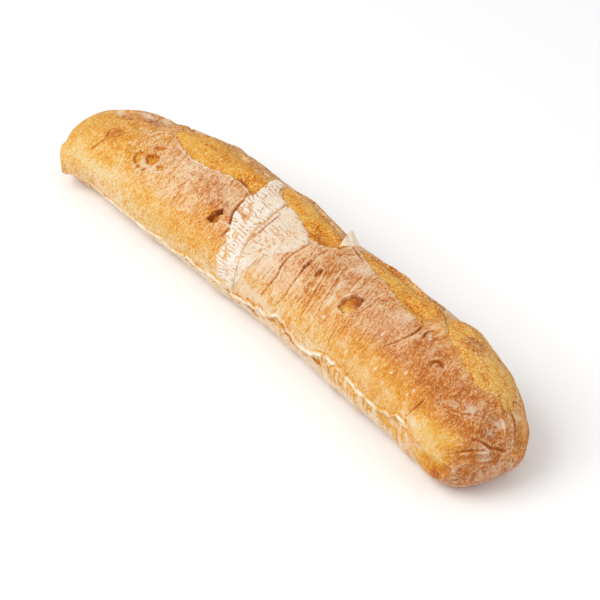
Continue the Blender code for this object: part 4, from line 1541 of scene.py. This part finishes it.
def flour_crust():
    """The cake's grid: points and masks."""
    spans = [np.arange(*ends, step) for ends, step in
             ((FLOUR_SPAN, FLOUR_STEP), (FLOUR_TURN, FLOUR_STEP / ARC))]
    grid_x, grid_turn = np.meshgrid(*spans, indexing="ij")
    x, degrees = grid_x.ravel(), grid_turn.ravel()
    plain = body(x, degrees)
    base, _ = skin(x, degrees, opened=False)
    pulled = ridges(layered_noise(wrinkle_points(plain, degrees), *COARSE_WRINKLES, 2))
    ragged = ragged_by(plain, FLOUR_FRAYED)
    ragged += DRAWN_OUT * (pulled - DRAWN_LEVEL) * nearness(plain, FRINGED)
    cover = ease((outline_distance(x, degrees, FLOUR_OUTLINE) + ragged) / EDGE_OVER + 0.5)
    parted = nearness(plain, PARTED)
    crack = cake_cracks(x, degrees, plain, parted)
    amount, size, seed = FLOUR_LUMPS
    height = FLOUR_HEIGHT - FLOUR_CRACK_DEPTH * crack + amount * layered_noise(plain, size, seed)
    height = cover * height - (1.0 - cover) * FLOUR_BURIED
    points = base + outward(x, degrees) * height[:, None]
    thin = CAKE_THIN_WHOLE * (1.0 - parted) + CAKE_THIN_EVERYWHERE
    thin += CAKE_THIN_EDGE * (1.0 - cover)
    masks = {"crack": crack, "thin": thin, "lean": lean_of(plain, degrees), "cover": cover}
    return points, {key: mask.reshape(grid_x.shape) for key, mask in masks.items()}


points, masks = flour_crust()
grid = fit_to_solid(points).reshape(*masks["crack"].shape, 3)
cake = grid_piece("flour_crust", grid, masks, grid_normals(grid, closed=False),
                  kept=masks.pop("cover") > 0.0)
cake.data.materials.append(flour_material())
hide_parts("loaf")
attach(cake, "root")

# ---- Torn flap -------------------------------------------------------------------------
# A thin three-cornered shred of dried skin that stands up at the near end of the third slash,
# still joined to the skin along its foot.

FLAP_FOOT = ((31.0, 14.0), (39.0, 32.0))
FLAP_TIP = (24.0, 34.0)
FLAP_LIFT = 6.0
FLAP_FOOT_LIFT = -0.4
FLAP_THICKNESS = 0.0006
FLAP_STEPS = 24
FLAP_NARROWS = 0.92
FLAP_WAVES = ((0.3, 3.0, 141),)
FLAP_SPECKS = 0.6
FLAP_LEVELS = (0.38, 0.62)
FLAP_COLOURS = (srgb(212, 182, 146), srgb(230, 218, 200))
FLAP_BUMP = (0.4, 0.0006)


def flap_material():
    """Dried skin so thin that light comes through: pale cream."""
    material, tree, shader = new_material("torn_skin", roughness=0.75)
    _, mixed = grain_of(tree, FLAP_SPECKS)
    tone = remap(tree, mixed, *FLAP_LEVELS)
    final = blend_colours(tree, tone, *FLAP_COLOURS)
    tree.links.new(final, shader.inputs["Base Color"])
    add_bump(tree, shader, mixed, *FLAP_BUMP)
    return material


steps = np.linspace(0.0, 1.0, FLAP_STEPS + 1)
up, along = np.meshgrid(steps, steps, indexing="ij")
foot = [start + (end - start) * along for start, end in zip(*FLAP_FOOT)]
narrow = FLAP_NARROWS * up
flap_x, flap_turn = ((1.0 - narrow) * low + narrow * tip for low, tip in zip(foot, FLAP_TIP))
x, degrees = flap_x.ravel(), flap_turn.ravel()
plain = body(x, degrees)
ground = crumb_height(x, degrees, plain, SLASHES[2]) + swell_height(x, degrees)
lift = FLAP_FOOT_LIFT + FLAP_LIFT * up.ravel()
lift += ragged_by(plain, FLAP_WAVES)
sheet = fit_to_solid(plain + outward(x, degrees) * (ground + lift)[:, None])
flap = grid_piece("torn_flap", sheet.reshape(*up.shape, 3), {"lean": np.zeros(up.shape)})
flap.data.materials.append(flap_material())
thick = flap.modifiers.new("thickness", "SOLIDIFY")
thick.thickness = FLAP_THICKNESS
thick.offset = 0.0
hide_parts("loaf")
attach(flap, "root")

# ---- Floor, light and camera ---------------------------------------------------------------
# A plain white floor, a large soft light high on the left of the camera, a weaker one on the
# right, and even light from all round, as in a photo studio.

LOOK_AT = (0.0, -0.0018, 0.030)
CAMERA_TURN = math.radians(52.367)
CAMERA_RISE = math.radians(38.0)
CAMERA_DISTANCE = 1.5
PICTURE_SIZE = 600.0
FOCAL_LENGTH = 2522.46
TARGET_SEEN_AT = (289.70, 267.47)
SENSOR = 36.0
FLOOR_SIZE = 6.0
FLOOR_COLOUR = (0.9, 0.9, 0.9, 1.0)
FLOOR_ROUGHNESS = 0.9
ROOM_COLOUR = (1.0, 1.0, 1.0, 1.0)
ROOM_LIGHT = 0.72


def toward(turn, rise):
    """A unit vector from the loaf, turned from -Y and raised from the floor."""
    return np.array((math.sin(turn) * math.cos(rise), -math.cos(turn) * math.cos(rise),
                     math.sin(rise)))


def face(thing, direction):
    """Turns a camera or light so that it looks back along a direction."""
    thing.rotation_euler = Vector(direction).to_track_quat("Z", "Y").to_euler()


camera_data = bpy.data.cameras.new("camera")
camera = bpy.data.objects.new("camera", camera_data)
bpy.context.scene.collection.objects.link(camera)
camera.location = np.array(LOOK_AT) + CAMERA_DISTANCE * toward(CAMERA_TURN, CAMERA_RISE)
face(camera, toward(CAMERA_TURN, CAMERA_RISE))
camera_data.sensor_width = SENSOR
camera_data.lens = FOCAL_LENGTH * SENSOR / PICTURE_SIZE
camera_data.shift_x = (PICTURE_SIZE / 2 - TARGET_SEEN_AT[0]) / PICTURE_SIZE
camera_data.shift_y = -(PICTURE_SIZE / 2 - TARGET_SEEN_AT[1]) / PICTURE_SIZE
bpy.context.scene.camera = camera

floor_mesh = bpy.data.meshes.new("floor")
half = FLOOR_SIZE / 2
floor_mesh.from_pydata([(-half, -half, 0), (half, -half, 0), (half, half, 0), (-half, half, 0)],
                       [], [(0, 1, 2, 3)])
floor = bpy.data.objects.new("floor", floor_mesh)
bpy.context.scene.collection.objects.link(floor)
floor_material, _, floor_shader = new_material("white_floor", roughness=FLOOR_ROUGHNESS)
floor_shader.inputs["Base Color"].default_value = FLOOR_COLOUR
floor_mesh.materials.append(floor_material)

# Turn and rise of each light, its distance, width and power
LIGHTS = (
    ("key_light", -20, 50, 1.6, 1.1, 16.0),
    ("fill_light", 100, 40, 1.8, 1.2, 4.0),
)
for name, turn, rise, distance, width, power in LIGHTS:
    light_data = bpy.data.lights.new(name, "AREA")
    light_data.size = width
    light_data.energy = power
    light = bpy.data.objects.new(name, light_data)
    direction = toward(math.radians(turn), math.radians(rise))
    light.location = direction * distance
    face(light, direction)
    bpy.context.scene.collection.objects.link(light)

world = bpy.data.worlds.new("studio")
world.use_nodes = True
background = world.node_tree.nodes["Background"]
background.inputs["Color"].default_value = ROOM_COLOUR
background.inputs["Strength"].default_value = ROOM_LIGHT
bpy.context.scene.world = world
bpy.context.scene.view_settings.view_transform = "Standard"
